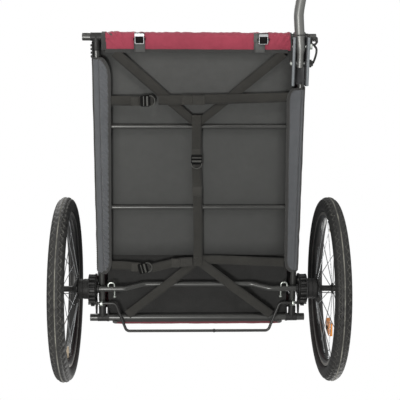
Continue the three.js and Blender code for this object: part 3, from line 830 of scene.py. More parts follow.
def make_tees():
    """Corner connectors: a sleeve on the cross tube, a socket for the rail, a lug for the hoop, rivets."""
    for end, at, inward in (("front", FRONT, 1), ("rear", REAR, -1)):
        pivot = HINGES[end]
        for side, s in SIDES:
            node = f"corner_tee_{end}_{side}"
            low, high = level_box(node)
            inner_x = low.x if s > 0 else high.x
            sleeve_from = s * 0.2447
            sleeve = disc(sleeve_from, s * 0.2765, at.y, at.z, 0.0107, edge=0.0005)
            collar = disc(sleeve_from, sleeve_from + s * 0.004, at.y, at.z, 0.0116, edge=0.001)
            reach, mouth = at.y + inward * 0.034, 0.86
            socket = sweep([(s * RAIL.x, at.y, at.z), (s * RAIL.x, reach - inward * 0.004, at.z),
                            (s * RAIL.x, reach, at.z)], circle(0.0102, 32), scale=[1, 1, mouth])
            thick = 0.005
            plate = prism(strap_outline((at.y, at.z), 0.0115, (pivot.y, pivot.z), 0.008), 0,
                          *sorted((inner_x, inner_x + s * thick)))
            pivot_cap = disc(inner_x - s * 0.0012, inner_x + s * 0.001, pivot.y, pivot.z, 0.0055, 20)
            joined_piece(node + "_moulding", [sleeve, collar, socket, plate, pivot_cap], "plastic",
                         nodes=[node])
            make_rivet(f"tee_rivet_{end}_{side}", Vector((s * RAIL.x, at.y, at.z - 0.0102)), 0.0024)


def make_rivet(name, at, radius):
    """A domed plastic rivet head that faces the ground."""
    rings = 5
    path, scale = [at + Vector((0, 0, 0.0008)), at], [1.0, 1.0]
    for i in range(1, rings):
        t = math.pi / 2 * i / rings
        path.append(at - Vector((0, 0, radius * 0.55 * math.sin(t))))
        scale.append(math.cos(t))
    return joined_piece(name, [sweep(path, circle(radius, 16), (0, 1, 0), scale=scale)], "plastic")


AXLE_BEND = {"outer": 0.197, "inner": 0.148, "mid_y": -0.006, "radius": 0.04}


def make_axle():
    """The bent axle tube, its end plates, bolts, spring clips and brake stops, and the rod's clips."""
    low, high = level_box("axle_tube")
    radius, mid_z = 0.0075, high.z - 0.0075
    half = [(AXLE_BEND["inner"], AXLE_BEND["mid_y"], mid_z), (AXLE_BEND["outer"], 0, AXLE_Z),
            (high.x, 0, AXLE_Z)]
    corners = [(-x, y, z) for x, y, z in reversed(half)] + half
    round_bar("axle_tube_bar", fillet(corners, AXLE_BEND["radius"]), radius, nodes=["axle_tube"])
    for side, s in SIDES:
        node = f"axle_plate_{side}"
        low, high = level_box(node)
        plate = prism(strap_outline((0, AXLE_Z), 0.018, (0, high.z - 0.034), 0.034, 14), 0, low.x, high.x)
        joined_piece(node + "_moulding", [plate], "plastic", nodes=[node], bevel=0.0012)
        ribs = [disc(s * 0.2745, s * 0.2762, y, z, 0.0045, 20) for y, z in ((0.02, 0.262), (-0.02, 0.262))]
        joined_piece(f"axle_plate_bolts_{side}", ribs, "zinc")
        collar = disc(s * 0.2685, s * 0.2752, 0, AXLE_Z, 0.0115, 32, 0.001)
        joined_piece(f"axle_collar_{side}", [collar], "plastic")
        make_axle_clip(side, s)
        low, high = level_box(f"brake_clip_{side}")
        y, z0 = (low.y + high.y) / 2, low.z + 0.008
        clip = prism(strap_outline((y, z0), 0.008, (y, high.z - 0.0012), 0.0082, 12), 0, low.x, high.x)
        joined_piece(f"brake_clip_band_{side}", [clip], "zinc", nodes=[f"brake_clip_{side}"],
                     bevel=0.0008)
        tab = prism([(0.028, 0.262), (0.034, 0.249), (0.050, 0.248), (0.074, 0.2505), (0.066, 0.256),
                     (0.050, 0.268)], 0, *sorted((s * 0.2745, s * 0.2800)))
        joined_piece(f"brake_stop_{side}", [tab], "plastic", bevel=0.0008)


def make_axle_clip(side, s):
    """A spring clip: one leg passes through the axle tube, the other grips its front."""
    low, high = level_box(f"axle_u_bolt_{side}")
    wire = 0.0024
    inner, outer = (low.x + wire, high.x - wire) if s > 0 else (high.x - wire, low.x + wire)
    z = AXLE_Z - 0.0016
    front = low.y + wire
    route = [(inner, 0.0225, z), (inner, front, z), (outer, front, z), (outer, -0.0066, z - 0.0012)]
    bar = sweep(fillet(route, 0.0070, 10), circle(wire * 0.86, 16), (0, 0, 1))
    tip = sweep([(inner, y, z) for y in (0.0185, 0.0205, 0.0232, 0.0240)], circle(0.0047, 18),
                scale=[0.50, 1.0, 1.0, 0.80])
    joined_piece(f"axle_clip_{side}", [bar, tip], "zinc", nodes=[f"axle_u_bolt_{side}"])


BRAKE = {"y": 0.045, "z": 0.256, "r": 0.0038, "foot_x": 0.194, "foot_y": 0.1250, "foot_z": 0.25,
         "arm_x": 0.226, "end_x": 0.3, "bend": 0.012, "pawl_x": (0.2815, 0.2915), "pawl_deep": 0.016,
         "pawl_half": 0.002}


def make_foot_brake():
    """The bent rod that a foot presses, with the pawls that drop between the brake rings' teeth."""
    half = [(BRAKE["foot_x"] + 0.002, BRAKE["foot_y"], BRAKE["foot_z"]),
            (BRAKE["arm_x"], BRAKE["y"], BRAKE["z"]), (BRAKE["end_x"], BRAKE["y"], BRAKE["z"])]
    corners = [(-x, y, z) for x, y, z in reversed(half)] + half
    rod = sweep(fillet(corners, BRAKE["bend"]), circle(BRAKE["r"], 24), (0, 0.2, 1))
    pawls = []
    for _, s in SIDES:
        x0, x1 = sorted(s * x for x in BRAKE["pawl_x"])
        pawls.append(box_mesh((x0, BRAKE["y"] - BRAKE["pawl_half"], BRAKE["z"] - BRAKE["pawl_deep"]),
                              (x1, BRAKE["y"] + BRAKE["pawl_half"], BRAKE["z"])))
    joined_piece("foot_brake_rod", [rod, *pawls], "rod", "foot_brake", ["brake_bar"])
    joint = sweep([(x, BRAKE["foot_y"], BRAKE["foot_z"]) for x in (0.0435, 0.0445, 0.0475, 0.0485)],
                  circle(BRAKE["r"] + 0.0012, 24), scale=[0.8, 1, 1, 0.8])
    joined_piece("foot_brake_joint", [joint], "plastic", "foot_brake")


# ---------------------------------------------------------------- wheels
TYRE = {"middle": 0.228, "half_width": 0.0215, "height": 0.022, "steps": 288, "around": 36, "blocks": 72}
HUB_X = {"flange": 0.3265, "outer": 0.369}
SPOKES = 20


def tyre_mesh(wheel_x):
    """A tyre with a centre rib and two rows of staggered blocks on each shoulder."""
    verts, uvs = [], []
    steps, around = TYRE["steps"], TYRE["around"]
    per_block = steps // TYRE["blocks"]
    for i in range(steps):
        t = 2 * math.pi * i / steps
        for j in range(around):
            a = math.pi * (2 * (j + 0.5) / around - 1)
            x = TYRE["half_width"] * math.sin(a)
            r = TYRE["middle"] + TYRE["height"] * math.cos(a)
            if abs(a) > 2.2:
                x *= 1 - 0.55 * (abs(a) - 2.2) / (math.pi - 2.2)
                r = max(r, 0.2078)
            angle = math.degrees(abs(a))
            row = 1 if angle > 34 else 0
            phase = (i + row * per_block // 2 + (per_block // 2 if a < 0 else 0)) % per_block
            groove = 9 < angle < 66 and (phase == 0 or 30 < angle < 36) or 5 < angle < 10
            r_cut = 0.0021 if groove else 0.0
            verts.append((wheel_x + x * (1 - r_cut / 0.022), r - r_cut, t))
            uvs.append((t * 0.25, a * 0.0217))
    placed = [(x, r * math.sin(t), AXLE_Z + r * math.cos(t)) for x, r, t in verts]
    return placed, wrapped_quads(steps, around), uvs


def wheel_place(s, point):
    """The left wheel's point, turned half round to the right side when s is -1."""
    x, y, z = point
    return s * x, s * y, z


def make_wheel(side, s):
    """A wheel from the tyre inwards, made for the left and turned half round for the right."""
    body = f"wheel_{side}"
    low, high = level_box(f"tyre_{side}")
    wheel_x = abs((low.x + high.x) / 2)

    def put(part):
        return [wheel_place(s, v) for v in part[0]], part[1], part[2]
    joined_piece(f"tyre_{side}_tread", [put(tyre_mesh(wheel_x))], "tyre", body, [f"tyre_{side}"])
    make_rim(side, wheel_x, body, put)
    make_spokes(side, wheel_x, body, put)
    make_hub(side, body, put)
    make_brake_ring(side, s, body)
    make_valve(side, s, wheel_x, body, put)
    make_reflector(side, s, wheel_x, body, put)


def make_rim(side, wheel_x, body, put):
    """The black rim and its two bare metal edges."""
    rim_half = [(0.1935, 0.0), (0.1935, 0.006), (0.1965, 0.0105), (0.2015, 0.0132), (0.2085, 0.0135),
                (0.2096, 0.0124), (0.2088, 0.0112), (0.2045, 0.0098), (0.2035, 0.007)]
    ring = [(r, wheel_x - x) for r, x in rim_half[1:]] + [(r, wheel_x + x) for r, x in reversed(rim_half)]
    rim = revolve(ring, (0, AXLE_Z), 120)
    joined_piece(f"rim_{side}_ring", [put(rim)], "rim", body, [f"rim_{side}"])
    for face, k in (("inner", -1), ("outer", 1)):
        edge = [(0.2022, wheel_x + k * 0.01335), (0.2082, wheel_x + k * 0.0138),
                (0.2094, wheel_x + k * 0.0132), (0.2022, wheel_x + k * 0.0129)]
        joined_piece(f"rim_{side}_{face}_edge", [put(revolve(edge, (0, AXLE_Z), 120))], "bead", body)


def make_spokes(side, wheel_x, body, put):
    """Spokes crossing from the drum's ears and the hub's outer flange, with their heads and nipples."""
    spokes, nipples = [], []
    for i in range(SPOKES):
        inner = i % 2 == 1
        hub_r, hub_x = (0.0362, HUB_X["flange"]) if inner else (0.0128, HUB_X["outer"])
        lean = math.radians(14 if i % 4 < 2 else -14)
        a = 2 * math.pi * i / SPOKES
        start = Vector((hub_x, hub_r * math.sin(a + lean), AXLE_Z + hub_r * math.cos(a + lean)))
        end = Vector((wheel_x, 0.1945 * math.sin(a), AXLE_Z + 0.1945 * math.cos(a)))
        along = (end - start).normalized()
        spokes.append(put(sweep([start, end], circle(0.0011, 8), (1, 0, 0))))
        nipples.append(put(sweep([end - along * 0.014, end - along * 0.012, end - along * 0.004, end],
                                 circle(0.0021, 8), (1, 0, 0), scale=[0.7, 1, 1, 1.2])))
        ball = [start - along * 0.0012, start, start + along * 0.0012]
        spokes.append(put(sweep(ball, circle(0.0022, 8), (1, 0, 0), scale=[0.6, 1, 0.6])))
    joined_piece(f"spokes_{side}", spokes, "steel", body)
    joined_piece(f"spoke_nipples_{side}", nipples, "steel", body)


def make_hub(side, body, put):
    """The hub's shell with an ear for each inner spoke."""
    drum = [(0.0065, 0.2963), (0.0262, 0.2963), (0.0275, 0.2976), (0.0275, 0.3095), (0.0262, 0.3102),
            (0.0262, 0.3118), (0.0275, 0.3125), (0.0275, 0.3235), (0.0262, 0.3248), (0.0262, 0.3278),
            (0.0272, 0.3292), (0.0225, 0.3335), (0.0115, 0.3385), (0.0088, 0.341), (0.008, 0.343),
            (0.008, 0.364), (0.0105, 0.3668), (0.0148, 0.3672), (0.0153, 0.368), (0.0153, 0.3702),
            (0.0145, 0.371), (0.0085, 0.3722), (0.0065, 0.3728)]
    ears = [put(prism(strap_outline((0.0225 * math.sin(a), AXLE_Z + 0.0225 * math.cos(a)), 0.0085,
                                    (0.0352 * math.sin(a), AXLE_Z + 0.0352 * math.cos(a)), 0.0048, 8), 0,
                      0.3248, 0.3282))
            for a in (2 * math.pi * (i + 0.5) / (SPOKES // 2) for i in range(10))]
    joined_piece(f"hub_{side}_shell", [put(revolve(drum, (0, AXLE_Z), 48)), *ears], "plastic", body,
                 [f"hub_{side}"])


def make_brake_ring(side, s, body):
    """The toothed ring inboard of the hub that the brake's pawl drops into."""
    core = [(0.0065, 0.2785), (0.0315, 0.2785), (0.032, 0.279), (0.032, 0.2925), (0.0395, 0.293),
            (0.0399, 0.2936), (0.0399, 0.2956), (0.0394, 0.296), (0.0065, 0.296)]
    ring_parts = [revolve(core, (0, AXLE_Z), 64, 1 if s > 0 else -1)]
    teeth = 16
    for i in range(teeth):
        a = 2 * math.pi * (i + 0.5) / teeth - math.radians(11.0)
        y, z = 0.0358 * math.cos(a), AXLE_Z + 0.0358 * math.sin(a)
        path = [(s * x, y, z) for x in (0.277, 0.2776, 0.2788, 0.2935)]
        ring_parts.append(sweep(path, circle(0.0036, 12), scale=[0.55, 0.85, 1, 1]))
    joined_piece(f"brake_ring_{side}_cage", ring_parts, "plastic", body, [f"brake_ring_{side}"])


def make_valve(side, s, wheel_x, body, put):
    """The tyre's valve with its cap, pointing inwards from the rim."""
    valve_turn = math.radians(-90 if s > 0 else -98)
    y, z = math.sin(valve_turn), math.cos(valve_turn)
    stem = [(wheel_x, y * r, AXLE_Z + z * r) for r in (0.194, 0.182, 0.181, 0.164, 0.162)]
    joined_piece(f"valve_{side}", [put(sweep(stem, circle(0.0031, 12), (1, 0, 0),
                                             scale=[1, 1, 1.25, 1.25, 0.8]))], "valve", body)


def make_reflector(side, s, wheel_x, body, put):
    """An amber reflector clipped between the spokes."""
    at, half_turn = math.radians(90 if s > 0 else 180), math.radians(13)
    outline = []
    for r, direction in ((0.134, 1), (0.099, -1)):
        for i in range(9):
            t = at + direction * half_turn * (2 * i / 8 - 1)
            outline.append((r * math.sin(t), AXLE_Z + r * math.cos(t)))
    lens = prism(outline, 0, wheel_x + 0.0035, wheel_x + 0.014)
    joined_piece(f"reflector_{side}", [put(lens)], "amber", body, bevel=0.0018)
    middle = Vector((0, 0.1165 * math.sin(at), AXLE_Z + 0.1165 * math.cos(at)))
    clip = disc(wheel_x + 0.0005, wheel_x + 0.0040, middle.y, middle.z, 0.0055, 24)
    joined_piece(f"reflector_clip_{side}", [put(clip)], "plastic", body)


def make_axle_ends():
    """Stub axles with their collars, and the release buttons in them."""
    for side, s in SIDES:
        stub = [(0.0004, 0.2415), (0.0055, 0.2415), (0.006, 0.242), (0.006, 0.3732), (0.0085, 0.3736),
                (0.009, 0.3742), (0.009, 0.3862), (0.0082, 0.387), (0.0054, 0.387), (0.0054, 0.3785),
                (0.0004, 0.3785)]
        joined_piece(f"stub_axle_{side}_shaft", [revolve(stub, (0, AXLE_Z), 40, s)], "tube",
                     nodes=[f"stub_axle_{side}"])
        button = [(0.0004, 0.3828), (0.005, 0.3828), (0.005, 0.3908), (0.0042, 0.3918), (0.0004, 0.3922)]
        joined_piece(f"release_button_{side}_cap", [revolve(button, (0, AXLE_Z), 32, s)], "zinc",
                     f"hub_button_{side}", [f"release_button_{side}"])


# ---------------------------------------------------------------- sheets, straps and seams
DOWN = (0, 0, -1)


def cloth_grid(grid, thick):
    """A sheet of even thickness around a grid of points; u runs along a row and v along a column."""
    mid = np.array([[tuple(p) for p in row] for row in grid], dtype=float)
    rows, cols = mid.shape[:2]
    normal = np.cross(np.gradient(mid, axis=1), np.gradient(mid, axis=0))
    normal /= np.maximum(np.linalg.norm(normal, axis=2, keepdims=True), 1e-9)
    u = np.zeros((rows, cols))
    v = np.zeros((rows, cols))
    u[:, 1:] = np.cumsum(np.linalg.norm(np.diff(mid, axis=1), axis=2), axis=1)
    v[1:, :] = np.cumsum(np.linalg.norm(np.diff(mid, axis=0), axis=2), axis=0)
    sides = [mid + normal * thick / 2, mid - normal * thick / 2]
    verts = [tuple(p) for side in sides for p in side.reshape(-1, 3)]
    uvs = [tuple(p) for p in np.stack([u, v], axis=2).reshape(-1, 2)] * 2
    count = rows * cols
    faces = two_sided_quads(rows, cols)
    edge = [*range(cols), *range(2 * cols - 1, count, cols)]
    edge += [*range(count - 2, count - cols - 1, -1), *range(count - 2 * cols, 0, -cols)]
    for a, b in zip(edge, edge[1:] + edge[:1]):
        faces.append((b, a, count + a, count + b))
    return verts, faces, uvs


def grid_area(grid):
    """The area of a grid of points."""
    mid = np.array([[tuple(p) for p in row] for row in grid], dtype=float)
    a, b = mid[1:, :-1] - mid[:-1, :-1], mid[:-1, 1:] - mid[:-1, :-1]
    return float(np.linalg.norm(np.cross(a, b), axis=2).sum())


def sheet_piece(name, grid, thick, look, flat, nodes=()):
    """A sheet from a grid of points; flat, the size it was cut to, is not used."""
    made = joined_piece(name, [cloth_grid(grid, thick)], look, nodes=nodes)
    return made


def spread(low, high, count):
    """Evenly spaced values, with both ends."""
    return [low + (high - low) * i / (count - 1) for i in range(count)]


def wave(x, y, z=0.0, scale=1.0):
    """Smooth noise from -1 to 1."""
    return noise.noise(Vector((x * scale, y * scale, z * scale)))


def stitch_row(path, out, pitch=0.0042, length=0.0031, radius=0.00042):
    """Thread stitches along a path on a surface whose outward direction is out."""
    path, out = [Vector(p) for p in path], Vector(out).normalized()
    parts, spent, position = [], 0.0, pitch / 2
    for a, b in zip(path, path[1:]):
        gap = (b - a).length
        if gap < 1e-9:
            continue
        along = (b - a) / gap
        side = along.cross(out).normalized()
        while position <= spent + gap:
            mid = a + along * (position - spent) + out * radius * 0.5
            tips = [mid - along * length / 2, mid + along * length / 2]
            ring = [mid + side * radius, mid + out * radius, mid - side * radius, mid - out * radius]
            faces = [(0, 2 + (i + 1) % 4, 2 + i) for i in range(4)]
            faces += [(1, 2 + i, 2 + (i + 1) % 4) for i in range(4)]
            parts.append((tips + ring, faces, [(0.0, 0.0)] * 6))
            position += pitch
        spent += gap
    return parts


def box_stitch(centre, along, across, out, length, width):
    """A stitched box with a cross in it, as straps are sewn down."""
    centre, along, across = Vector(centre), Vector(along).normalized(), Vector(across).normalized()
    a, b = along * length / 2, across * width / 2
    corners = [centre - a - b, centre + a - b, centre + a + b, centre - a + b]
    parts = stitch_row([*corners, corners[0]], out, 0.0029, 0.0023)
    parts += stitch_row([corners[0], corners[2]], out, 0.0029, 0.0023)
    parts += stitch_row([corners[1], corners[3]], out, 0.0029, 0.0023)
    return parts


def strap_piece(name, points, width=0.025, thick=0.0016, look="webbing", nodes=(), steps=8, narrow=1.0):
    """A flat strap through points on its middle; its first end is bunched up where narrow is below 1."""
    path = smooth_path(points, steps)
    last = len(path) - 1
    scale = [narrow + (1 - narrow) * min(1.0, 1.6 * i / last) for i in range(last + 1)]
    made = joined_piece(name, [ribbon(path, width, thick, DOWN, scale)], look, nodes=nodes)
    path_length(path)
    return made


def hem_piece(name, path, width, thick, up, look="trim"):
    """Binding tape folded over a sheet's edge; its cut width is twice what shows."""
    made = joined_piece(name, [ribbon(path, width, thick, up)], look)
    length = path_length(path)
    return made


def path_length(path):
    """The length of a path."""
    return sum((Vector(b) - Vector(a)).length for a, b in zip(path, path[1:]))


# ---------------------------------------------------------------- straps under the floor
STRAP_W = 0.025
CENTRE = [(-0.006, -0.478), (-0.0055, -0.42), (-0.0052, -0.352), (-0.003, -0.27), (0, -0.15), (0, -0.064)]


def make_webbing():
    """The straps that are sewn under the floor: one along, four splayed ends and two across."""
    z = 0.2600
    front, rear = (-0.006, -0.4530), (0.0, -0.078)
    centre = [(x, y, 0.2572 if i in (0, 5) else z - 0.0014) for i, (x, y) in enumerate(CENTRE)]
    strap_piece("centre_strap", centre, nodes=["underside_webbing"])
    for side, s in SIDES:
        a, b = Vector((*front, 0.2606)), Vector((s * 0.2155, -0.638, 0.2622))
        strap_piece(f"front_diagonal_{side}",
                    [a, a.lerp(b, 0.3), a.lerp(b, 0.6) + Vector((0, 0, 0.0012)), b], narrow=0.78)
        end_x = 0.2035 if s > 0 else -0.1935
        a, b = Vector((*rear, 0.2604)), Vector((end_x, 0.081, 0.2592))
        middle = a.lerp(b, 0.47)
        middle.z = 0.2566
        strap_piece(f"rear_diagonal_{side}",
                    [a, a.lerp(b, 0.2), middle, a.lerp(b, 0.75) - Vector((0, 0, 0.002)), b])
    z0 = 0.2574
    strap_piece("front_cross_strap_left",
                [(0.2345, -0.5250, 0.2615), (0.19, -0.5236, 0.2592), (0.11, -0.5214, z0),
                 (0.0, -0.5188, z0 - 0.0004), (-0.105, -0.5168, z0)], nodes=["front_cross_strap"])
    strap_piece("front_cross_strap_right", [(-0.148, -0.5148, z0 + 0.0006), (-0.19, -0.5146, 0.2592),
                                            (-0.2345, -0.5144, 0.2615)])
    z1 = 0.2618
    strap_piece("rear_cross_strap_left",
                [(-0.004, -0.0795, z1), (0.06, -0.0792, z1 + 0.0002), (0.15, -0.075, z1),
                 (0.2345, -0.0712, z1 + 0.0006)], nodes=["rear_cross_strap"])
    strap_piece("rear_cross_strap_mid", [(-0.126, -0.0560, 0.2582), (-0.098, -0.0635, 0.2580),
                                         (-0.07, -0.0705, 0.2572), (-0.042, -0.0748, 0.2568),
                                         (-0.0145, -0.0762, 0.2574)])
    strap_piece("rear_cross_strap_right", [(-0.157, -0.0585, 0.2596), (-0.195, -0.0625, 0.2606),
                                           (-0.2345, -0.0632, z1)])
    make_strap_folds()
    make_strap_stitches()


def fold_loop(name, low, high, y, z, lift, width=STRAP_W + 0.0006, along=(1, 0, 0)):
    """A strap end folded back on itself, as a flattened loop from low to high along the strap."""
    along = Vector(along).normalized()
    origin = Vector((0, y, z)) if abs(along.x) > 0.5 else Vector((y, 0, z))
    a, b = origin + along * low, origin + along * high
    up = Vector(DOWN)
    path = [a, a + up * lift * 0.5 + along * 0.002, a + up * lift + along * 0.006,
            a.lerp(b, 0.5) + up * lift * 1.06, b + up * lift - along * 0.005,
            b + up * lift * 0.6 - along * 0.0012, b]
    return strap_piece(name, path, width, 0.0015, look="fold", steps=5)


def make_strap_folds():
    """Keeper loops and folded tails, as the ends of the adjusters have."""
    fold_loop("front_keeper_loop", -0.0445, -0.0175, -0.5184, 0.2569, 0.0020, STRAP_W + 0.0012)
    fold_loop("front_strap_tail", -0.0205, 0.0150, -0.5184, 0.2568, 0.0028)
    fold_loop("centre_strap_tail", -0.2870, -0.2590, -0.0034, 0.2592, 0.0034, along=(0, 1, 0))
    fold_loop("centre_strap_fold", -0.3890, -0.3680, -0.0057, 0.2592, 0.0022, along=(0, 1, 0))
    fold_loop("rear_keeper_loop", -0.0715, -0.0490, -0.0725, 0.2566, 0.0026)
    path = [(-0.050, -0.0740, 0.2558), (-0.040, -0.0752, 0.2538), (-0.030, -0.0758, 0.2544),
            (-0.020, -0.0762, 0.2536), (-0.0155, -0.0764, 0.2550), (-0.0170, -0.0764, 0.2572)]
    strap_piece("rear_strap_tail", path, STRAP_W + 0.0008, 0.0015, look="fold", steps=6)
    fold_loop("front_strap_anchor", -0.1760, -0.1560, -0.5147, 0.2574, 0.0018)
    fold_loop("rear_strap_anchor", -0.1810, -0.1620, -0.0602, 0.2592, 0.0020)


STITCH = {"pitch": 0.0026, "length": 0.0021}
ACROSS_ROWS = (((-0.016, 0.0045), 0.2568, (-0.3835, -0.3805, -0.3745, -0.3715)),
               ((-0.0130, 0.0060), 0.2556, (-0.2635, -0.2655)))
ALONG_ROWS = (((-0.5290, -0.5080), 0.2538, (-0.0425, -0.0395, -0.0230, -0.0200, 0.0120)),
              ((-0.5250, -0.5040), 0.2554, (-0.1735, -0.1705)),
              ((-0.0830, -0.0630), 0.2538, (-0.0690, -0.0665, -0.0520, -0.0450)),
              ((-0.0700, -0.0500), 0.2570, (-0.1780, -0.1755)))


def make_strap_stitches():
    """Crossed boxes where straps meet, and rows of stitches over their folded ends."""
    rows = []
    for centre in ((-0.006, -0.4665, 0.2562), (0.0, -0.0785, 0.2562)):
        rows += box_stitch(centre, (0, 1, 0), (1, 0, 0), DOWN, 0.018, 0.019)
    for (x0, x1), z, places in ACROSS_ROWS:
        for y in places:
            rows += stitch_row([(x0, y, z), (x1, y, z)], DOWN, **STITCH)
    for (y0, y1), z, places in ALONG_ROWS:
        for x in places:
            rows += stitch_row([(x, y0, z), (x, y1, z)], DOWN, **STITCH)
    joined_piece("strap_stitches", rows, "strap_thread")


def ladder_lock(name, node, centre, turn, size):
    """A webbing adjuster: a plate with two slots, raised bars and a half-round tongue."""
    length, width = size
    thick, half, r = 0.0034, width / 2, 0.004
    x0, x1 = -length / 2, length * 0.12
    outline = arc((x0 + r, r - half), r, 270, 180, 4) + arc((x0 + r, half - r), r, 180, 90, 4)
    tongue = []
    for i in range(19):
        t = math.radians(90 - 180 * i / 18)
        tongue.append((x1 + (length / 2 - x1) * max(0.0, math.cos(t)) ** 0.8, half * math.sin(t)))
    made = outward(piece(name, prism(outline + tongue, 2, -thick / 2, thick / 2), "rubber",
                         nodes=[node]))
    slot_half = width / 2 - 0.0030
    slots = [(-length * 0.24, -length * 0.105), (length * 0.05, length * 0.16)]
    bored(made, *[solid("slot_tool", box_mesh((a, -slot_half, -0.01), (b, slot_half, 0.01)), "buckle")
                  for a, b in slots])
    bevelled(made, 0.0009, 2)
    place_level(made, centre, turn)
    low = -thick / 2
    rim = sweep([(x * 0.95, y * 0.93, low) for x, y in tongue], circle(0.0013, 10), (0, 0, 1))
    bars = [sweep([(x, -slot_half - 0.0010, low + 0.0002), (x, slot_half + 0.0010, low + 0.0002)],
                  circle(bar, 12)) for x, bar in ((-length * 0.275, 0.0014), (-length * 0.045, 0.0022),
                                                  (-length * 0.005, 0.0016))]
    ridges = joined_piece(name + "_ridges", [rim, *bars], "buckle")
    place_level(ridges, centre, turn)
    # A black box behind the slots stands in for the shade inside them: painted shadow.
    shadow = joined_piece(name + "_painted_shadow", [box_mesh((slots[0][0] - 0.001, -slot_half, 0.0008),
                                                    (slots[1][1] + 0.001, slot_half, 0.0014))],
                          "rubber")
    place_level(shadow, centre, turn)
    inlay = joined_piece(name + "_strap", [box_mesh((slots[1][1] + 0.0012, -slot_half * 0.9, low - 0.0007),
                                                   (length * 0.40, slot_half * 0.9, low + 0.0002))],
                         "webbing", bevel=0.0004)
    place_level(inlay, centre, turn)


def place_level(obj, centre, turn):
    """Moves a piece that was made around the level origin to centre, turned about the vertical."""
    move = LEVEL @ Matrix.Translation(centre) @ Matrix.Rotation(turn, 4, "Z") @ TO_LEVEL
    obj.data.transform(move)


def make_buckles():
    """The three webbing adjusters."""
    size = (0.038, 0.029)
    ladder_lock("front_ladder_lock", "front_strap_buckle", (-0.1325, -0.5152, 0.2556), math.radians(-1),
                size)
    ladder_lock("centre_ladder_lock", "centre_strap_buckle", (-0.0055, -0.3545, 0.2568), math.radians(90),
                size)
    ladder_lock("rear_ladder_lock", "rear_strap_buckle", (-0.1430, -0.0580, 0.2572), math.radians(-14),
                size)


# ---------------------------------------------------------------- floor
FLOOR = {"x": 0.2465, "front": -0.6640, "edge": -0.088, "rear": 0.0915, "z": 0.2786}
BARS_Y = (-0.4455, -0.226)


def floor_height(x, y):
    """The floor sags between its crossbars, pulls up towards the rails and creases near its corners."""
    across = max(0.0, 1 - (abs(x) / 0.236) ** 3.0)
    posts = [FLOOR["front"] - 0.03, *BARS_Y, FLOOR["edge"] + 0.02]
    for a, b in zip(posts, posts[1:]):
        if a <= y <= b:
            t = (y - a) / (b - a)
            sag = math.sin(math.pi * t) ** 0.8
            break
    else:
        sag = 0.0
    z = FLOOR["z"] - 0.0042 * sag * across
    z += 0.0045 * max(0.0, (abs(x) - 0.2) / 0.047) ** 2
    corner = max(0.0, 1 - math.hypot((abs(x) - 0.235) / 0.09, (y - FLOOR["front"]) / 0.12))
    z += corner * 0.0028 * wave(x + y * 0.6, x - y, 1.3, 42)
    z += 0.00055 * wave(x, y, 0.0, 13) + 0.0002 * wave(x, y, 4.0, 37)
    return z


def make_floor():
    """The floor's fabric, its two rows of stitches and the footwell."""
    xs = spread(-FLOOR["x"], FLOOR["x"], 83)
    ys = spread(FLOOR["front"], FLOOR["edge"], 97)
    grid = [[(x, y, floor_height(x, y)) for x in xs] for y in ys]
    sheet_piece("floor_fabric", grid, 0.0014, "floor", (0.493, 0.576),
                nodes=["floor_panel"])
    rows = []
    for x in (-0.228, 0.228):
        for shift in (0.0, 0.0045):
            line = [(x + shift, y, floor_height(x + shift, y) - 0.0009) for y in spread(-0.655, -0.11, 60)]
            rows += stitch_row(line, DOWN, 0.0046, 0.0034)
    joined_piece("floor_stitches", rows, "dark_thread")
    make_recess()


def recess_seam_x(y):
    """The footwell's seam leans across the middle as it runs back."""
    t = (y - FLOOR["edge"]) / (FLOOR["rear"] - FLOOR["edge"])
    return -0.052 + 0.044 * t ** 1.3


def recess_height(x, y):
    """The footwell bulges upwards, with a seam and pull creases towards its rear corners."""
    t = (y - FLOOR["edge"]) / (FLOOR["rear"] - FLOOR["edge"])
    deep = 0.0135 * math.sin(math.pi * min(1.0, t * 0.94 + 0.06)) ** 0.7 * (1 - (abs(x) / 0.262) ** 4)
    z = FLOOR["z"] + 0.0008 + deep
    z -= 0.0016 * math.exp(-((x - recess_seam_x(y)) / 0.007) ** 2) * math.sin(math.pi * t)
    pull = max(0.0, 1 - math.hypot((abs(x) - 0.2) / 0.13, (t - 1.0) / 0.9))
    z += pull * 0.0050 * math.sin((abs(x) * 70 + t * 5.5) * 1.1 + 3 * wave(x, y, 2.0, 8))
    z += 0.0022 * wave(x * 0.6, y, 5.0, 20) * (0.3 + t) + 0.0006 * wave(x, y, 8.0, 60)
    return max(z, 0.2812) if t > 0.9 else z


def make_recess():
    """The darker fabric of the footwell behind the board."""
    xs = spread(-FLOOR["x"], FLOOR["x"], 113)
    ys = spread(FLOOR["edge"] - 0.003, FLOOR["rear"], 45)
    grid = [[(x, y, recess_height(x, max(y, FLOOR["edge"]))) for x in xs] for y in ys]
    sheet_piece("footwell_fabric", grid, 0.0014, "recess", (0.493, 0.176))
    seam = [(recess_seam_x(y), y, recess_height(recess_seam_x(y), y) - 0.0010)
            for y in spread(FLOOR["edge"] + 0.004, FLOOR["rear"] - 0.003, 30)]
    joined_piece("footwell_seam", stitch_row(seam, DOWN), "dark_thread")


# ---------------------------------------------------------------- side flaps under the rails
FLAPS = {"right": {"front": -0.6255, "rear": -0.0396, "front_in": 0.2252, "rear_in": 0.2345,
                   "front_round": (0.030, 0.055), "seam": 0.2560},
         "left": {"front": -0.5490, "rear": -0.0445, "front_in": 0.2262, "rear_in": 0.2362,
                  "front_round": (0.020, 0.030), "seam": 0.2640}}
FLAP_OUT = 0.2728
HEM_W = 0.0092
FLAP_REAR_ROUND = (0.024, 0.034)
RIB_PITCH, RIB_RISE = 0.0150, 0.0019


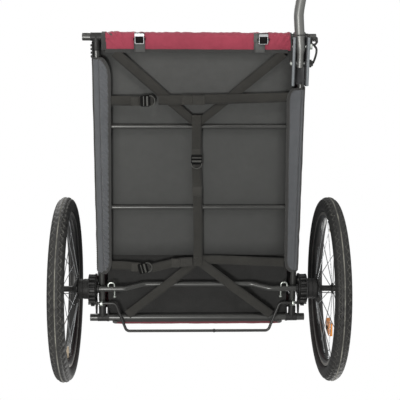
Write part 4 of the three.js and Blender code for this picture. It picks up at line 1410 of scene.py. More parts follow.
def flap_inner(flap, y, inset=0.0):
    """The flap's inner edge, rounded off at its front and rear."""
    front, rear = flap["front"] + inset, flap["rear"] - inset
    t = min(1.0, max(0.0, (y - front) / (rear - front)))
    x = flap["front_in"] + (flap["rear_in"] - flap["front_in"]) * t + inset
    for (rx, ry), away in ((flap["front_round"], y - front), (FLAP_REAR_ROUND, rear - y)):
        if away < ry:
            k = min(1.0, 1 - away / ry)
            x += (rx - inset * 0.4) * (1 - math.sqrt(max(0.0, 1 - k * k)))
    return min(x, FLAP_OUT - 0.004)


def flap_z(x, y, s, ribbed=0.0):
    """Hangs round the rail's underside, a little slack between its stitch lines."""
    edge = max(0.0, (x - 0.2655) / 0.0073)
    z = 0.2586 + 0.0085 * edge ** 2.2
    z -= 0.0012 * math.sin(math.pi * min(1, max(0, (x - 0.236) / 0.036)))
    z += 0.0007 * wave(x * 3, y, s, 24) + 0.0005 * wave(x * 2 + y, y - x, s * 2, 60)
    return z + ribbed


def make_flap(side, s):
    """One side's cloth below the rail: the sheet, its bound edge and its stitches."""
    flap = FLAPS[side]
    seam_x = flap["seam"]
    front, rear = flap["front"] + HEM_W * 0.55, flap["rear"] - HEM_W * 0.55
    ys = [front + (rear - front) * (0.5 - 0.5 * math.cos(math.pi * i / 150)) for i in range(151)]
    ys = sorted(set(ys + spread(front + 0.05, rear - 0.03, 170)))
    cols, grid = 25, []
    for y in ys:
        inner = flap_inner(flap, y, HEM_W * 0.55)
        row = []
        for j in range(cols):
            x = FLAP_OUT + (inner - FLAP_OUT) * j / (cols - 1)
            ribs = 0.0
            if x < seam_x and s < 0:
                along = (y + 0.64) / 0.6
                fade = min(1, (seam_x - x) / 0.004) * min(1, max(0.0, (x - inner) / 0.003))
                turn = 2 * math.pi * (y + x * 1.1) / RIB_PITCH + 1.5 * wave(x, y, 3, 18)
                ribs = RIB_RISE * fade * (0.45 + 0.55 * along ** 2) * math.sin(turn)
            ribs += 0.0032 * math.exp(-((x - seam_x) / 0.0020) ** 2)
            row.append((s * x, y, flap_z(x, y, s, ribs)))
        grid.append(row)
    area = grid_area(grid)
    sheet_piece(f"side_flap_{side}", grid, 0.0012, "side",
                (area / (rear - front) * 1.06, rear - front))
    route = [(FLAP_OUT - 0.001, flap["front"] + HEM_W / 2)]
    for y in [flap["front"] + 0.0046 + 0.055 * (i / 24) ** 2 for i in range(25)]:
        route.append((flap_inner(flap, y) + HEM_W / 2, y))
    route += [(flap_inner(flap, y) + HEM_W / 2, y)
              for y in spread(flap["front"] + 0.075, flap["rear"] - 0.055, 40)]
    for y in [flap["rear"] - 0.0046 - 0.045 * (1 - i / 24) ** 2 for i in range(25)]:
        route.append((flap_inner(flap, y) + HEM_W / 2, y))
    route.append((FLAP_OUT - 0.001, flap["rear"] - HEM_W / 2))
    kept = [route[0]]
    for x, y in route[1:]:
        if math.dist((x, y), kept[-1]) > 0.0016:
            kept.append((x, y))
    path = [(s * x, y, flap_z(x, y, s) - 0.0003) for x, y in kept]
    hem_piece(f"side_flap_hem_{side}", path, HEM_W, 0.0026, DOWN)
    edge = [(s * (x + 0.0026), y, flap_z(x, y, s) - 0.0019) for x, y in kept]
    seam = [(s * seam_x, y, flap_z(seam_x, y, s) + 0.0012) for y in spread(front + 0.02, rear - 0.02, 90)]
    joined_piece(f"side_flap_stitches_{side}", stitch_row(edge, DOWN, 0.0044, 0.0033), "thread")
    joined_piece(f"side_flap_seam_{side}", stitch_row(seam, DOWN, 0.0044, 0.0033), "dark_thread",
                 slot="side_fabric")


def make_zip_end():
    """The coil zip of the side panel, where it ends in front of the flap."""
    teeth = []
    for i in range(4):
        y = -0.6555 + 0.0092 * i
        teeth.append(box_mesh((-0.2762, y - 0.0026, 0.2590), (-0.2722, y + 0.0026, 0.2700)))
    joined_piece("zip_teeth_right", teeth, "plastic", bevel=0.0004)
    tape = box_mesh((-0.2730, -0.6640, 0.2590), (-0.2718, -0.6215, 0.2745))
    joined_piece("zip_tape_right", [tape], "trim")


# ---------------------------------------------------------------- front cover's wrap, tabs and hooks
WRAP = {"left": 0.2315, "right": -0.2375,
        "profile": [(-0.6445, 0.2612), (-0.6550, 0.2583), (-0.6670, 0.2574), (-0.6785, 0.2588),
                    (-0.6856, 0.2640), (-0.6880, 0.2722), (-0.6858, 0.2830), (-0.6750, 0.2930),
                    (-0.6600, 0.3000), (-0.6510, 0.3060)]}


TAB_X = 0.152
PULL_X = 0.153


def wrap_grid():
    """Burgundy cloth pulled round the front tube, with fine pull wrinkles towards its ends."""
    profile = smooth_path([(0, y, z) for y, z in WRAP["profile"]], 6)
    xs = spread(WRAP["right"], WRAP["left"], 161)
    grid = []
    for i, p in enumerate(profile):
        v = i / (len(profile) - 1)
        row = []
        for x in xs:
            end = min(abs(x - WRAP["left"]), abs(x - WRAP["right"]))
            near_end = math.exp(-end / 0.03)
            near_tab = math.exp(-((abs(x) - PULL_X) / 0.03) ** 2)
            hem = min(1.0, v / 0.22)
            pull = (0.0014 + 0.0030 * near_end + 0.0016 * near_tab) * hem
            lift = (pull * wave(x * 1.0 + v * 0.045, v * 0.05, 1.0, 80)
                    + 0.0007 * hem * wave(x, v * 0.04, 3.0, 30))
            pucker = 0.0016 * max(0.0, 0.5 - abs(v - 0.6) * 3) * wave(x, 0.0, 7.0, 75)
            slant = math.sin((abs(x) - v * 0.060) * 400 + 2.0 * wave(x, v, 5.0, 20))
            pucker += 0.0010 * hem * (math.exp(-end / 0.050) + 0.3) * slant
            bow = 0.0010 * math.cos(x * 9.0) if v < 0.3 else 0.0
            shift = lift + pucker + 0.0009 * hem * near_tab * wave(x * 0.6 + v * 0.03, v * 0.05, 9.0, 140)
            dy, dz = p.y - FRONT.y, p.z - FRONT.z
            d = max(1e-6, math.hypot(dy, dz))
            row.append((x, p.y + shift * dy / d + bow * (0.3 - v), p.z + shift * dz / d))
        grid.append(row)
    return grid


def make_front_wrap():
    """The front cover's lower edge round the front tube, its hem, ends, tabs and hooks."""
    grid = wrap_grid()
    wide = WRAP["left"] - WRAP["right"]
    sheet_piece("front_cover_wrap", grid, 0.0012, "wine", (wide, 0.098))
    hem_path = [(x, -0.6425 + 0.0007 * wave(x, 0, 0, 22), 0.2616 + 0.0006 * wave(x, 3, 0, 30))
                for x in spread(WRAP["right"] - 0.002, WRAP["left"] - 0.006, 60)]
    hem_piece("front_cover_hem", hem_path, 0.0105, 0.0022, (0, 0.25, -1))
    for name, x, width in (("right", WRAP["right"] - 0.0045, 0.0125),
                           ("left", WRAP["left"] + 0.0012, 0.0045)):
        path = [(x + (0.0035 * max(0.0, 0.4 - i / 12) if name == "left" else 0.0), p.y, p.z)
                for i, p in enumerate(smooth_path([(0, y, z) for y, z in WRAP["profile"]], 2))]
        hem_piece(f"front_cover_end_{name}", path, width, 0.0024, (0, 0.3, -1))
    rows = []
    for shift in (0.0, 0.0030):
        line = [(x, -0.6478 - shift, 0.2593 - 0.18 * shift - 0.0004)
                for x in spread(WRAP["right"] + 0.004, WRAP["left"] - 0.008, 100)]
        rows += stitch_row(line, (0, 0.2, -1), 0.0038, 0.0029)
    joined_piece("front_cover_stitches", rows, "wine_thread")
    for side, s in SIDES:
        make_cover_hook(side, s)
    make_corner_gussets()


def make_cover_hook(side, s):
    """A webbing tab with a square metal hook that grips the front tube."""
    skew = 0.0 if s < 0 else 0.0095
    x = s * TAB_X
    tab = [(x, -0.6400, 0.2585), (x, -0.6480, 0.2562), (x, -0.6600, 0.2552),
           (x + skew * 0.3, -0.6680, 0.2550)]
    path = smooth_path(tab, 5)
    made = joined_piece(f"cover_tab_{side}", [ribbon(path, 0.0285, 0.0022, DOWN)], "tab")
    path_length(path) * 2
    0.0285 * path_length(path)
    if s > 0:
        path = smooth_path([(x - 0.0090, -0.6660, 0.2546), (x - 0.0090, -0.6740, 0.2536),
                            (x - 0.0085, -0.6820, 0.2560), (x - 0.0085, -0.6872, 0.2640)], 5)
        made = joined_piece("cover_tab_tail", [ribbon(path, 0.0125, 0.0018, (0, 0.3, -1))], "tab")
        path_length(path)
    low, high = level_box(f"cover_hook_{side}")
    z = (low.z + high.z) / 2
    turn = math.radians(0 if s < 0 else -1)
    wide, deep, bar = 0.0109, 0.0120, 0.0024
    loop = fillet([(0, deep, 0), (-wide, deep, 0), (-wide, -deep, 0), (wide, -deep, 0), (wide, deep, 0),
                   (0, deep, 0)], 0.0020, 5)
    ring = sweep(loop, strap_section(bar, 0.0022, 3), (0, 0, 1))
    plate = box_mesh((-wide - 0.0006, -deep - 0.0006, -0.0013), (wide + 0.0006, -deep + 0.0052, 0.0006))
    hook = sweep([(0, -deep + 0.0010, 0.0006), (0, -deep - 0.0014, 0.0032), (0, -deep - 0.0022, 0.0100),
                  (0, -deep - 0.0012, 0.0180)], strap_section(0.0255, 0.0018, 3), (0, 0, 1))
    metal = joined_piece(f"cover_hook_{side}", [ring, plate], "chrome")
    grip = joined_piece(f"cover_hook_grip_{side}", [hook], "bracket")
    # The black slab behind the ring's opening is painted shadow; the two small blocks beside it are pads.
    pads = [box_mesh((-wide, -deep, 0.0010), (wide, deep, 0.0022))]
    pads += [box_mesh((k * 0.0136 - 0.0016, -0.0020, -0.0006), (k * 0.0136 + 0.0016, 0.0046, 0.0018))
             for k in (-1, 1)]
    patch = joined_piece(f"cover_hook_shadow_and_pads_{side}", pads, "rubber", bevel=0.0004)
    for obj in (metal, grip, patch):
        place_level(obj, (x + skew, -0.6735, z - 0.0012), turn)
    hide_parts(f"cover_hook_{side}")


def make_corner_gussets():
    """The front cover's dark lining that shows between the corner connector and the wrap."""
    for side, s in SIDES:
        grid = [[(s * x, y, 0.2850 + 0.001 * wave(x, y, s, 40)) for x in spread(0.2260, 0.2610, 8)]
                for y in spread(-0.6680, -0.6120, 14)]
        sheet_piece(f"corner_gusset_{side}", grid, 0.0012, "trim", (0.035, 0.056))


# ---------------------------------------------------------------- burgundy strip behind the rear tube
def make_rear_strip():
    """The rear panel's lower edge round the rear tube."""
    profile = [(0.1030, 0.2612), (0.1058, 0.2602), (0.1085, 0.2630), (0.1095, 0.2700), (0.1098, 0.2830),
               (0.1050, 0.2950), (0.0920, 0.3010), (0.0760, 0.3040)]
    profile = smooth_path([(0, y, z) for y, z in profile], 5)
    xs = spread(-0.2255, 0.2255, 121)
    grid = []
    for i, p in enumerate(profile):
        row = []
        for x in xs:
            taper = max(0.0, (abs(x) - 0.205) / 0.0205)
            shift = 0.0007 * wave(x, i * 0.002, 2.0, 35) + 0.0004 * wave(x, i * 0.002, 5.0, 90)
            row.append((x, p.y + shift, p.z + 0.0035 * taper ** 2 * max(0.0, 1 - 2 * i / len(profile))))
        grid.append(row)
    # The strip's darker burgundy is painted shade.
    sheet_piece("rear_cover_strip", grid, 0.0016, "wine_painted_shade", (0.451, 0.070))
    for side, s in SIDES:
        path = [(s * 0.2225, 0.1035, 0.2618), (s * 0.2290, 0.1042, 0.2632), (s * 0.2345, 0.1030, 0.2660)]
        hem_piece(f"rear_strip_end_{side}", smooth_path(path, 4), 0.0115, 0.0030, (0, 0.5, -1))
    lower = [(x, 0.1012 + 0.0004 * wave(x, 0, 0, 30), 0.2622) for x in spread(-0.222, 0.222, 60)]
    hem_piece("rear_strip_hem", lower, 0.0065, 0.0022, DOWN)


# ---------------------------------------------------------------- hoops and push handle
HOOPS = {"front": {"x": 0.228, "lean": 57.9, "length": 0.696},
         "rear": {"x": 0.2625, "lean": 82.0, "length": 0.636}}
HOOP_R = 0.0085
HOOP_BEND = 0.060
HANDLE = {"x": 0.287, "r": 0.010, "pivot": hinge_of("handle_tilt"), "grip": level_centre("handle_grip"),
          "half": 0.170}


def hoop_point(end, x, along, out=0.0):
    """A point on a hoop's plane: along its legs, and out square to them, forwards and up."""
    lean, pivot = math.radians(HOOPS[end]["lean"]), HINGES[end]
    return Vector((x, pivot.y + along * math.cos(lean) - out * math.sin(lean),
                   pivot.z + along * math.sin(lean) + out * math.cos(lean)))


def make_hoops():
    """The two folding hoops with the sockets on their feet."""
    for end in ("front", "rear"):
        x, length, body = HOOPS[end]["x"], HOOPS[end]["length"], f"hoop_{end}"
        corners = [hoop_point(end, -x, 0.012), hoop_point(end, -x, length), hoop_point(end, x, length),
                   hoop_point(end, x, 0.012)]
        round_bar(f"{end}_hoop_tube", fillet(corners, HOOP_BEND, 12), HOOP_R, body=body,
                  nodes=[f"{end}_hoop"], up=(0, 1, 0.2))
        feet = []
        for _, s in SIDES:
            cap = [hoop_point(end, s * x, a) for a in (-0.0085, -0.0060, 0.0, 0.026, 0.0275)]
            feet.append(sweep(cap, circle(0.0098, 24), (0, 1, 0), scale=[0.6, 0.9, 1, 1, 0.93]))
            pivot = HINGES[end]
            lug = 0.2446 if end == "front" else 0.2482
            feet.append(disc(s * (x - 0.011), s * lug if end == "front" else s * lug, pivot.y, pivot.z,
                             0.0038, 16))
        joined_piece(f"{end}_hoop_feet", feet, "plastic", body)


def make_handle():
    """The push handle, its ratchet bosses and its foam grip."""
    x, pivot, grip = HANDLE["x"], HANDLE["pivot"], HANDLE["grip"]
    corners = [(-x, pivot.y, pivot.z), (-x, grip.y, grip.z), (x, grip.y, grip.z), (x, pivot.y, pivot.z)]
    round_bar("push_handle_tube", fillet(corners, 0.045, 12), HANDLE["r"], body="handle",
              nodes=["push_handle"], up=(0, 1, 0.2))
    for side, s in SIDES:
        boss = [disc(s * 0.2757, s * 0.2985, pivot.y, pivot.z, 0.0160, 40, 0.0022),
                disc(s * 0.2985, s * 0.3005, pivot.y, pivot.z, 0.0085, 24, 0.0008),
                disc(s * 0.2656, s * 0.2760, pivot.y, pivot.z, 0.0050, 16)]
        teeth = []
        for i in range(20):
            t = 2 * math.pi * i / 20
            y, z = pivot.y + 0.0155 * math.cos(t), pivot.z + 0.0155 * math.sin(t)
            teeth.append(sweep([(s * 0.2785, y, z), (s * 0.2955, y, z)], circle(0.0012, 6)))
        joined_piece(f"handle_pivot_{side}", boss + teeth, "plastic", "handle")
    half, r = HANDLE["half"], 0.0148
    rings = [(0.0, 0.012), (0.0015, r), (0.012, r), (0.014, 0.0136), (0.018, 0.0136), (0.020, r)]
    profile = [(-half + a, b) for a, b in rings]
    count = 40
    profile += [(-half + 0.024 + (2 * half - 0.048) * i / count, r + 0.0005 * math.sin(math.pi * i / count)
                 - (0.0006 if i % 5 == 0 else 0.0)) for i in range(count + 1)]
    profile += [(half - a, b) for a, b in reversed(rings)]
    path = [(a, grip.y, grip.z) for a, _ in profile]
    joined_piece("handle_foam", [sweep(path, circle(1.0, 32), scale=[b for _, b in profile])], "foam",
                 "handle", ["handle_grip"])


# ---------------------------------------------------------------- cabin cloth
WALL_X = 0.2735
FRONT_TOP_X = 0.2400
SHOULDER = 0.052


def folding(obj):
    """Gives a piece of the cabin's cloth a mesh of its own."""
    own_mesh(obj)
    return obj


def hoop_line_y(end, z, out):
    """Where the plane out from a hoop passes height z."""
    lean, pivot = math.radians(HOOPS[end]["lean"]), HINGES[end]
    along = (z - pivot.z - out * math.cos(lean)) / math.sin(lean)
    return pivot.y + along * math.cos(lean) - out * math.sin(lean)


def wall_x(y, z):
    """Half the cabin's width: full over the rails and at the rear hoop, narrower at the front one's top."""
    y0, y1 = hoop_line_y("front", z, 0.0), hoop_line_y("rear", z, 0.0)
    forward = min(1.0, max(0.0, (y1 - y) / (y1 - y0)))
    rise = min(1.0, max(0.0, (z - 0.290) / 0.22))
    return WALL_X - (WALL_X - FRONT_TOP_X) * forward * rise ** 0.8


def ray_hit(outline, centre, angle):
    """How far from centre the outline lies in a direction."""
    d = (math.cos(angle), math.sin(angle))
    best = 0.0
    for (ax, ay), (bx, by) in zip(outline, outline[1:] + outline[:1]):
        ex, ey = bx - ax, by - ay
        det = ex * d[1] - ey * d[0]
        if abs(det) < 1e-12:
            continue
        wx, wy = ax - centre[0], ay - centre[1]
        t = (ex * wy - ey * wx) / det
        k = (d[0] * wy - d[1] * wx) / det
        if t > 0 and -1e-9 <= k <= 1 + 1e-9:
            best = max(best, t)
    return best


def rounded_polygon(corners, r, steps=5):
    """A closed outline of (x, y) with rounded corners."""
    path = fillet([*[(x, y, 0) for x, y in corners], (*corners[0], 0), (*corners[1], 0)], r, steps)
    count = len(path)
    return [(p.x, p.y) for p in path[1:count - 1]]


def ring_angles(outline, centre):
    """Directions from centre: even ones, and those of the outline's corners."""
    count = 120
    angles = {round(2 * math.pi * i / count - math.pi, 5) for i in range(count)}
    angles |= {round(math.atan2(y - centre[1], x - centre[0]), 5) for x, y in outline}
    ordered = sorted(angles)
    kept = [ordered[0]]
    for a in ordered[1:]:
        if a - kept[-1] > 0.004:
            kept.append(a)
    return kept


def extent(outline):
    """The width and height of an outline."""
    xs, ys = [x for x, _ in outline], [y for _, y in outline]
    return max(xs) - min(xs), max(ys) - min(ys)


def windowed_sheet(name, place, outer, window, look, film, nodes):
    """A sheet with a bound window: place turns (a, b) into a level point, and bulges between its edges."""
    centre = (sum(x for x, _ in window) / len(window), sum(y for _, y in window) / len(window))
    angles = ring_angles(outer, centre)
    angles.append(angles[0] + 2 * math.pi)
    grid, glass, rings = [], [], 16
    for k in range(rings + 1):
        row = []
        for a in angles:
            r1, r0 = ray_hit(outer, centre, a), ray_hit(window, centre, a)
            r = r1 + (r0 - r1) * k / rings
            row.append(place(centre[0] + r * math.cos(a), centre[1] + r * math.sin(a)))
        grid.append(row)
    for k in range(9):
        shrink, row = 1.01 - k / 8.01, []
        for a in angles:
            r = ray_hit(window, centre, a) * shrink
            row.append(place(centre[0] + r * math.cos(a), centre[1] + r * math.sin(a)))
        glass.append(row)
    flat, size = extent(outer), extent(window)
    cloth = joined_piece(f"{name}_cloth", [cloth_grid(grid, 0.0012)], look, nodes=nodes)
    max(0.3 * flat[0] * flat[1], grid_area(grid))
    pane = joined_piece(f"{name}_window", [cloth_grid(glass, 0.0005)], film)
    min(size[0] * size[1], grid_area(glass))
    made = [cloth, pane]
    for edge, shape, wide in (("rim", grid[-1], 0.012), ("binding", grid[0], 0.009)):
        loop = shape[:-1]
        first, quarter, half = (Vector(loop[len(loop) * k // 4]) for k in (0, 1, 2))
        facing = (quarter - first).cross(half - first)
        tape = joined_piece(f"{name}_{edge}", [ribbon_loop(loop, wide, 0.0030, facing)], "trim")
        path_length(loop)
        wide * path_length(loop)
        stitches, lift = [], facing.normalized() * 0.0016
        for k in (1, -1):
            stitches += stitch_row([p + lift * k for p in loop], facing * k, 0.006, 0.0044, 0.0005)
        made += [tape, joined_piece(f"{name}_{edge}_stitches", stitches, "thread")]
    for obj in made:
        folding(obj)
    return made


def ribbon_loop(path, width, thick, up):
    """A flat tape along a closed path."""
    return sweep(path, strap_section(width, thick), up, closed=True)


def make_walls():
    """Each side's cloth, window and reflective band."""
    foot, top = hoop_point("front", 0, 0.012, 0.010), hoop_point("front", 0, 0.650, 0.010)
    rear = hoop_point("rear", 0, 0.590, -0.010)
    for side, s in SIDES:
        flap_y = FLAPS[side]["front"]
        outer = [(flap_y, 0.2640), (-0.0500, 0.2640), (-0.0500, 0.2920), (0.0500, 0.2920),
                 (rear.y - 0.002, rear.z), (top.y + 0.008, top.z), (foot.y + 0.004, foot.z + 0.004),
                 (-0.6440, 0.2890), (flap_y, 0.2860)]
        window = rounded_polygon([(-0.415, 0.500), (0.040, 0.500), (0.088, 0.775), (-0.255, 0.775)], 0.045)

        def place(y, z, s=s):
            middle = max(0.0, min(1.0, (z - 0.30) / 0.2)) * max(0.0, min(1.0, (0.83 - z) / 0.2))
            slack = 0.0030 * middle * wave(y, z, s * 3.0, 5) + 0.0007 * wave(y * 1.4, z - y, s, 26)
            slack += 0.0010 * max(0.0, 1 - (z - 0.30) / 0.16) * wave(y * 2.2, z * 0.6, s * 4,
                                                                     30) if z < 0.46 else 0.0
            return Vector((s * (wall_x(y, z) + slack - 0.0010), y, z))
        windowed_sheet(f"side_wall_{side}", place, outer, window, "side", "film", [f"side_panel_{side}"])
        pocket = [(s * (wall_x(y, 0.40) + 0.0028 + 0.004 * math.sin(math.pi * t)), y,
                   0.400 + 0.0015 * math.sin(t * 9)) for t,
                  y in ((i / 30, -0.50 + 0.53 * i / 30) for i in range(31))]
        folding(hem_piece(f"side_band_{side}", pocket, 0.012, 0.0016, (s, 0, 0.1), "reflective"))


def canopy_section(y, top, half):
    """A section across the roof: level between rounded shoulders."""
    shoulder = [Vector((x, y, z)) for x, z in arc((half - SHOULDER, top - SHOULDER), SHOULDER, 0, 90, 8)]
    level = [Vector((x, y, top)) for x in spread(half - SHOULDER, SHOULDER - half, 27)[1:-1]]
    return shoulder + level + [Vector((-p.x, p.y, p.z)) for p in reversed(shoulder)]


def make_roof():
    """The roof between the two hoops, bound on all sides, with two seams."""
    front, rear = hoop_point("front", 0, 0.698, 0.012), hoop_point("rear", 0, 0.648, -0.012)
    rows, grid = 44, []
    for i in range(rows + 1):
        t = i / rows
        y, z = front.y + (rear.y - front.y) * t, front.z + (rear.z - front.z) * t
        half = wall_x(y, z) + 0.0012
        row = []
        for p in canopy_section(y, z, half):
            inner = max(0.0, 1 - (abs(p.x) / (half - 0.02)) ** 4)
            sag = 0.0100 * math.sin(math.pi * t) * inner + 0.0018 * wave(p.x, y, 9.0, 11) * inner
            sag += 0.0008 * wave(p.x * 2, y, 4.0, 30)
            squeeze = 0.004 * math.sin(math.pi * t) * (1 - inner)
            row.append(p + Vector((-math.copysign(squeeze, p.x), 0, -sag)))
        grid.append(row)
    width = path_length(grid[0])
    made = sheet_piece("roof_canopy", grid, 0.0014, "wine",
                       (width, path_length([r[0] for r in grid])), nodes=["roof_panel"])
    folding(made)
    for name, row in (("front", grid[0]), ("rear", grid[-1])):
        path = [Vector(p) + Vector((0, 0.003 if name == "front" else -0.003, 0.0012)) for p in row]
        folding(hem_piece(f"roof_{name}_edge", path, 0.014, 0.0030, (1, 0, 0.4)))
    for s in (1, -1):
        rail = [row[0 if s > 0 else -1] for row in grid]
        folding(hem_piece(f"roof_side_edge_{'left' if s > 0 else 'right'}", rail, 0.012, 0.0026, (s, 0, 0)))
    seams = []
    for column in (14, len(grid[0]) - 15):
        line = [Vector(row[column]) + Vector((0, 0, 0.0010)) for row in grid[1:-1]]
        seams += stitch_row(line, (0, 0, 1), 0.0055, 0.0042, 0.0005)
        seams += stitch_row([p + Vector((0.004, 0, 0)) for p in line], (0, 0, 1), 0.0055, 0.0042, 0.0005)
    folding(joined_piece("roof_stitches", seams, "wine_thread"))


def end_outline(end, low, high):
    """The outline of a panel on a hoop, in (x, along), with its upper corners rounded like the hoop's."""
    right = []
    for i in range(15):
        along = low + (high - SHOULDER - low) * i / 14
        p = hoop_point(end, 0, along)
        right.append((wall_x(p.y, p.z) - 0.002, along))
    right += arc((right[-1][0] - SHOULDER, high - SHOULDER), SHOULDER, 0, 90, 8)[1:]
    return right + [(-x, a) for x, a in reversed(right)]


def make_front_cover():
    """Burgundy below and a fly-mesh window above, on the front hoop."""
    outer = end_outline("front", 0.006, 0.702)
    window = rounded_polygon([(-0.175, 0.235), (0.175, 0.235), (0.165, 0.610), (-0.165, 0.610)], 0.050)

    def place(x, along):
        inside = max(0.0, 1 - (abs(x) / 0.24) ** 4) * math.sin(math.pi * min(1, max(0, along / 0.70)))
        slack = -0.010 * inside + 0.0016 * wave(x, along, 6.0, 14)
        slack += 0.0012 * math.exp(-along / 0.12) * wave(x * 2.5, along * 0.5, 2.0, 30)
        low = max(0.0, 1 - along / 0.05)
        return hoop_point("front", x, along, 0.0115 + slack * (1 - low) + 0.006 * low)
    windowed_sheet("front_cover", place, outer, window, "wine", "mesh", ["front_cover"])


def make_rear_panel():
    """Burgundy, with a grey luggage pocket across its lower part and a window above."""
    outer = end_outline("rear", 0.010, 0.650)
    window = rounded_polygon([(-0.165, 0.390), (0.165, 0.390), (0.165, 0.560), (-0.165, 0.560)], 0.040)

    def place(x, along):
        inside = max(0.0, 1 - (abs(x) / 0.26) ** 4) * math.sin(math.pi * min(1, max(0, along / 0.66)))
        slack = -0.006 * inside + 0.0016 * wave(x, along, 16.0, 12)
        return hoop_point("rear", x, along, -0.0115 - slack)
    windowed_sheet("rear_panel", place, outer, window, "wine", "film", ["rear_panel"])
    rows, grid = 24, []
    for i in range(rows + 1):
        along = 0.060 + 0.260 * i / rows
        row = []
        for j in range(41):
            x = -0.215 + 0.430 * j / 40
            full = math.sin(math.pi * min(1, i / rows * 0.85 + 0.08)) * (1 - (abs(x) / 0.215) ** 4)
            out = (-0.0150 - 0.022 * full + 0.0030 * wave(x, along, 21.0, 9) * full
                   + 0.001 * wave(x * 2, along, 3, 30))
            row.append(hoop_point("rear", x, along, out))
        grid.append(row)
    pocket = sheet_piece("rear_pocket", grid, 0.0014, "side", (0.440, 0.275))
    folding(pocket)
    folding(hem_piece("rear_pocket_edge", grid[-1], 0.016, 0.0034, (0, 0.2, 1)))
    loop = [*grid[0], *[r[-1] for r in grid[1:-1]]]
    folding(hem_piece("rear_pocket_side", loop, 0.010, 0.0028, (0, 1, 0)))
    folding(hem_piece("rear_pocket_side_two", [r[0] for r in grid[:-1]], 0.010, 0.0028, (0, 1, 0)))


# ---------------------------------------------------------------- seat and harness
SEAT = {"half": 0.150, "thick": 0.026, "lean": 70.0, "back": 0.450, "foot": Vector((0, -0.120, 0.396)),
        "base": level_box("seat_base")}


LEAN = math.radians(SEAT["lean"])
BACK_UP = Vector((0, math.cos(LEAN), math.sin(LEAN)))
BACK_OUT = Vector((0, -math.sin(LEAN), math.cos(LEAN)))


def back_point(x, along, out):
    """A point on the seat back: across it, up it and out from it."""
    return SEAT["foot"] + Vector((x, 0, 0)) + BACK_UP * along + BACK_OUT * out


def pad_shape(width, length, thick):
    """A slim closed pad around the origin plane, its edges rounded."""
    cols, rows, verts = 31, 43, []
    for side in (1, -1):
        for i in range(rows):
            for j in range(cols):
                u, v = 2 * j / (cols - 1) - 1, 2 * i / (rows - 1) - 1
                corner = 1 - 0.035 * (abs(u) * abs(v)) ** 6
                edge = (1 - abs(u) ** 14) ** 0.5 * (1 - abs(v) ** 14) ** 0.5
                verts.append((u * width / 2 * corner, v * length / 2 * corner, side * thick / 2 * edge))
    return verts, two_sided_quads(rows, cols), None


SWELL = {"pressure": 4.0, "cap": 0.009, "voxel": 0.0055, "frames": 18, "stiffness": 12}


def swollen(obj):
    """Lets a pad's cover swell over its filling with a cloth simulation, then keeps the result."""
    weld = obj.modifiers.new("weld", "WELD")
    weld.merge_threshold = 0.0004
    remesh = obj.modifiers.new("remesh", "REMESH")
    remesh.mode, remesh.voxel_size = "VOXEL", SWELL["voxel"]
    applied(obj)
    rest = [v.co.copy() for v in obj.data.vertices]
    cloth = obj.modifiers.new("cloth", "CLOTH")
    cloth.settings.quality = 5
    cloth.settings.use_pressure = True
    cloth.settings.uniform_pressure_force = SWELL["pressure"]
    cloth.settings.effector_weights.gravity = 0
    cloth.settings.tension_stiffness = cloth.settings.compression_stiffness = SWELL["stiffness"]
    cloth.settings.bending_stiffness = 0.4
    for frame_number in range(1, SWELL["frames"] + 1):
        SCENE.frame_set(frame_number)
    applied(obj)
    SCENE.frame_set(1)
    for vertex, start in zip(obj.data.vertices, rest):
        step = vertex.co - start
        if step.length > SWELL["cap"]:
            vertex.co = start + step * SWELL["cap"] / step.length
    return obj


def quilted(obj, lines, depth, width, axis, frame_to):
    """Sinks sewn channels into a pad; frame_to turns a parked point into the pad's own."""
    back = frame_to.inverted()
    for vertex in obj.data.vertices:
        p = frame_to @ vertex.co
        sink = 0.0
        for line in lines:
            sink = max(sink, math.exp(-((p[axis] - line) / width) ** 2))
        p.z -= math.copysign(depth * sink, p.z)
        p.z += 0.0008 * wave(p.x, p.y, 12.0, 22)
        vertex.co = back @ p
    return obj


def make_seat():
    """The seat's two quilted pads and their piping."""
    low, high = SEAT["base"]
    centre = (low + high) / 2
    base_to = Matrix.Translation(-centre) @ TO_LEVEL
    middle = back_point(0, SEAT["back"] / 2, SEAT["thick"] / 2)
    turn = Matrix.Rotation(LEAN, 4, "X")
    back_to = (Matrix.Translation(middle) @ turn).inverted() @ TO_LEVEL
    pads = (("seat_base_pad", base_to, (0.292, high.y - low.y - 0.006), (-0.04, 0.04), "seat_base"),
            ("seat_back_pad", back_to, (0.292, SEAT["back"] - 0.008), (-0.135, -0.045, 0.045, 0.135),
             "seat_back"))
    for name, to_own, (width, length), lines, node in pads:
        made = piece(name, pad_shape(width, length, 0.0150), "seat", nodes=[node])
        made.data.transform(LEVEL.inverted())
        made.data.transform(to_own.inverted())
        swollen(outward(made))
        quilted(made, lines, 0.0036, 0.0045, 1, to_own)
        sub = made.modifiers.new("smooth", "SUBSURF")
        sub.levels = sub.render_levels = 1
        applied(made)
        outward(made)
        made.data.polygons.foreach_set("use_smooth", [True] * len(made.data.polygons))
        folding(made)
        outline = rounded_outline(width / 2 + 0.001, length / 2 + 0.001, 0.012)
        own = TO_LEVEL @ to_own.inverted()
        loop = [own @ Vector((x, y, 0)) for x, y in outline]
        piping = joined_piece(name + "_piping", [sweep(loop, circle(0.0022, 10), (0, 0.3, 1), closed=True)],
                              "trim", slot="seat_fabric")
        folding(piping)
    make_seat_sling()


def make_seat_sling():
    """The webbing that carries the seat from the rails and the rear hoop."""
    low = SEAT["base"][0]
    parts = []
    for s in (1, -1):
        for y in (-0.36, -0.19):
            a = Vector((s * 0.146, y, low.z + 0.004))
            b = Vector((s * 0.2600, y, 0.2815))
            parts.append(ribbon([a, a.lerp(b, 0.5) + Vector((s * 0.004, 0, 0)), b], 0.025, 0.0016,
                                (0, 0, 1)))
        a, b = back_point(s * 0.146, 0.43, 0.010), hoop_point("rear", s * 0.2535, 0.55)
        parts.append(ribbon([a, a.lerp(b, 0.5), b], 0.025, 0.0016, (0, 0, 1)))
    made = joined_piece("seat_hangers", parts, "webbing")
    folding(made)


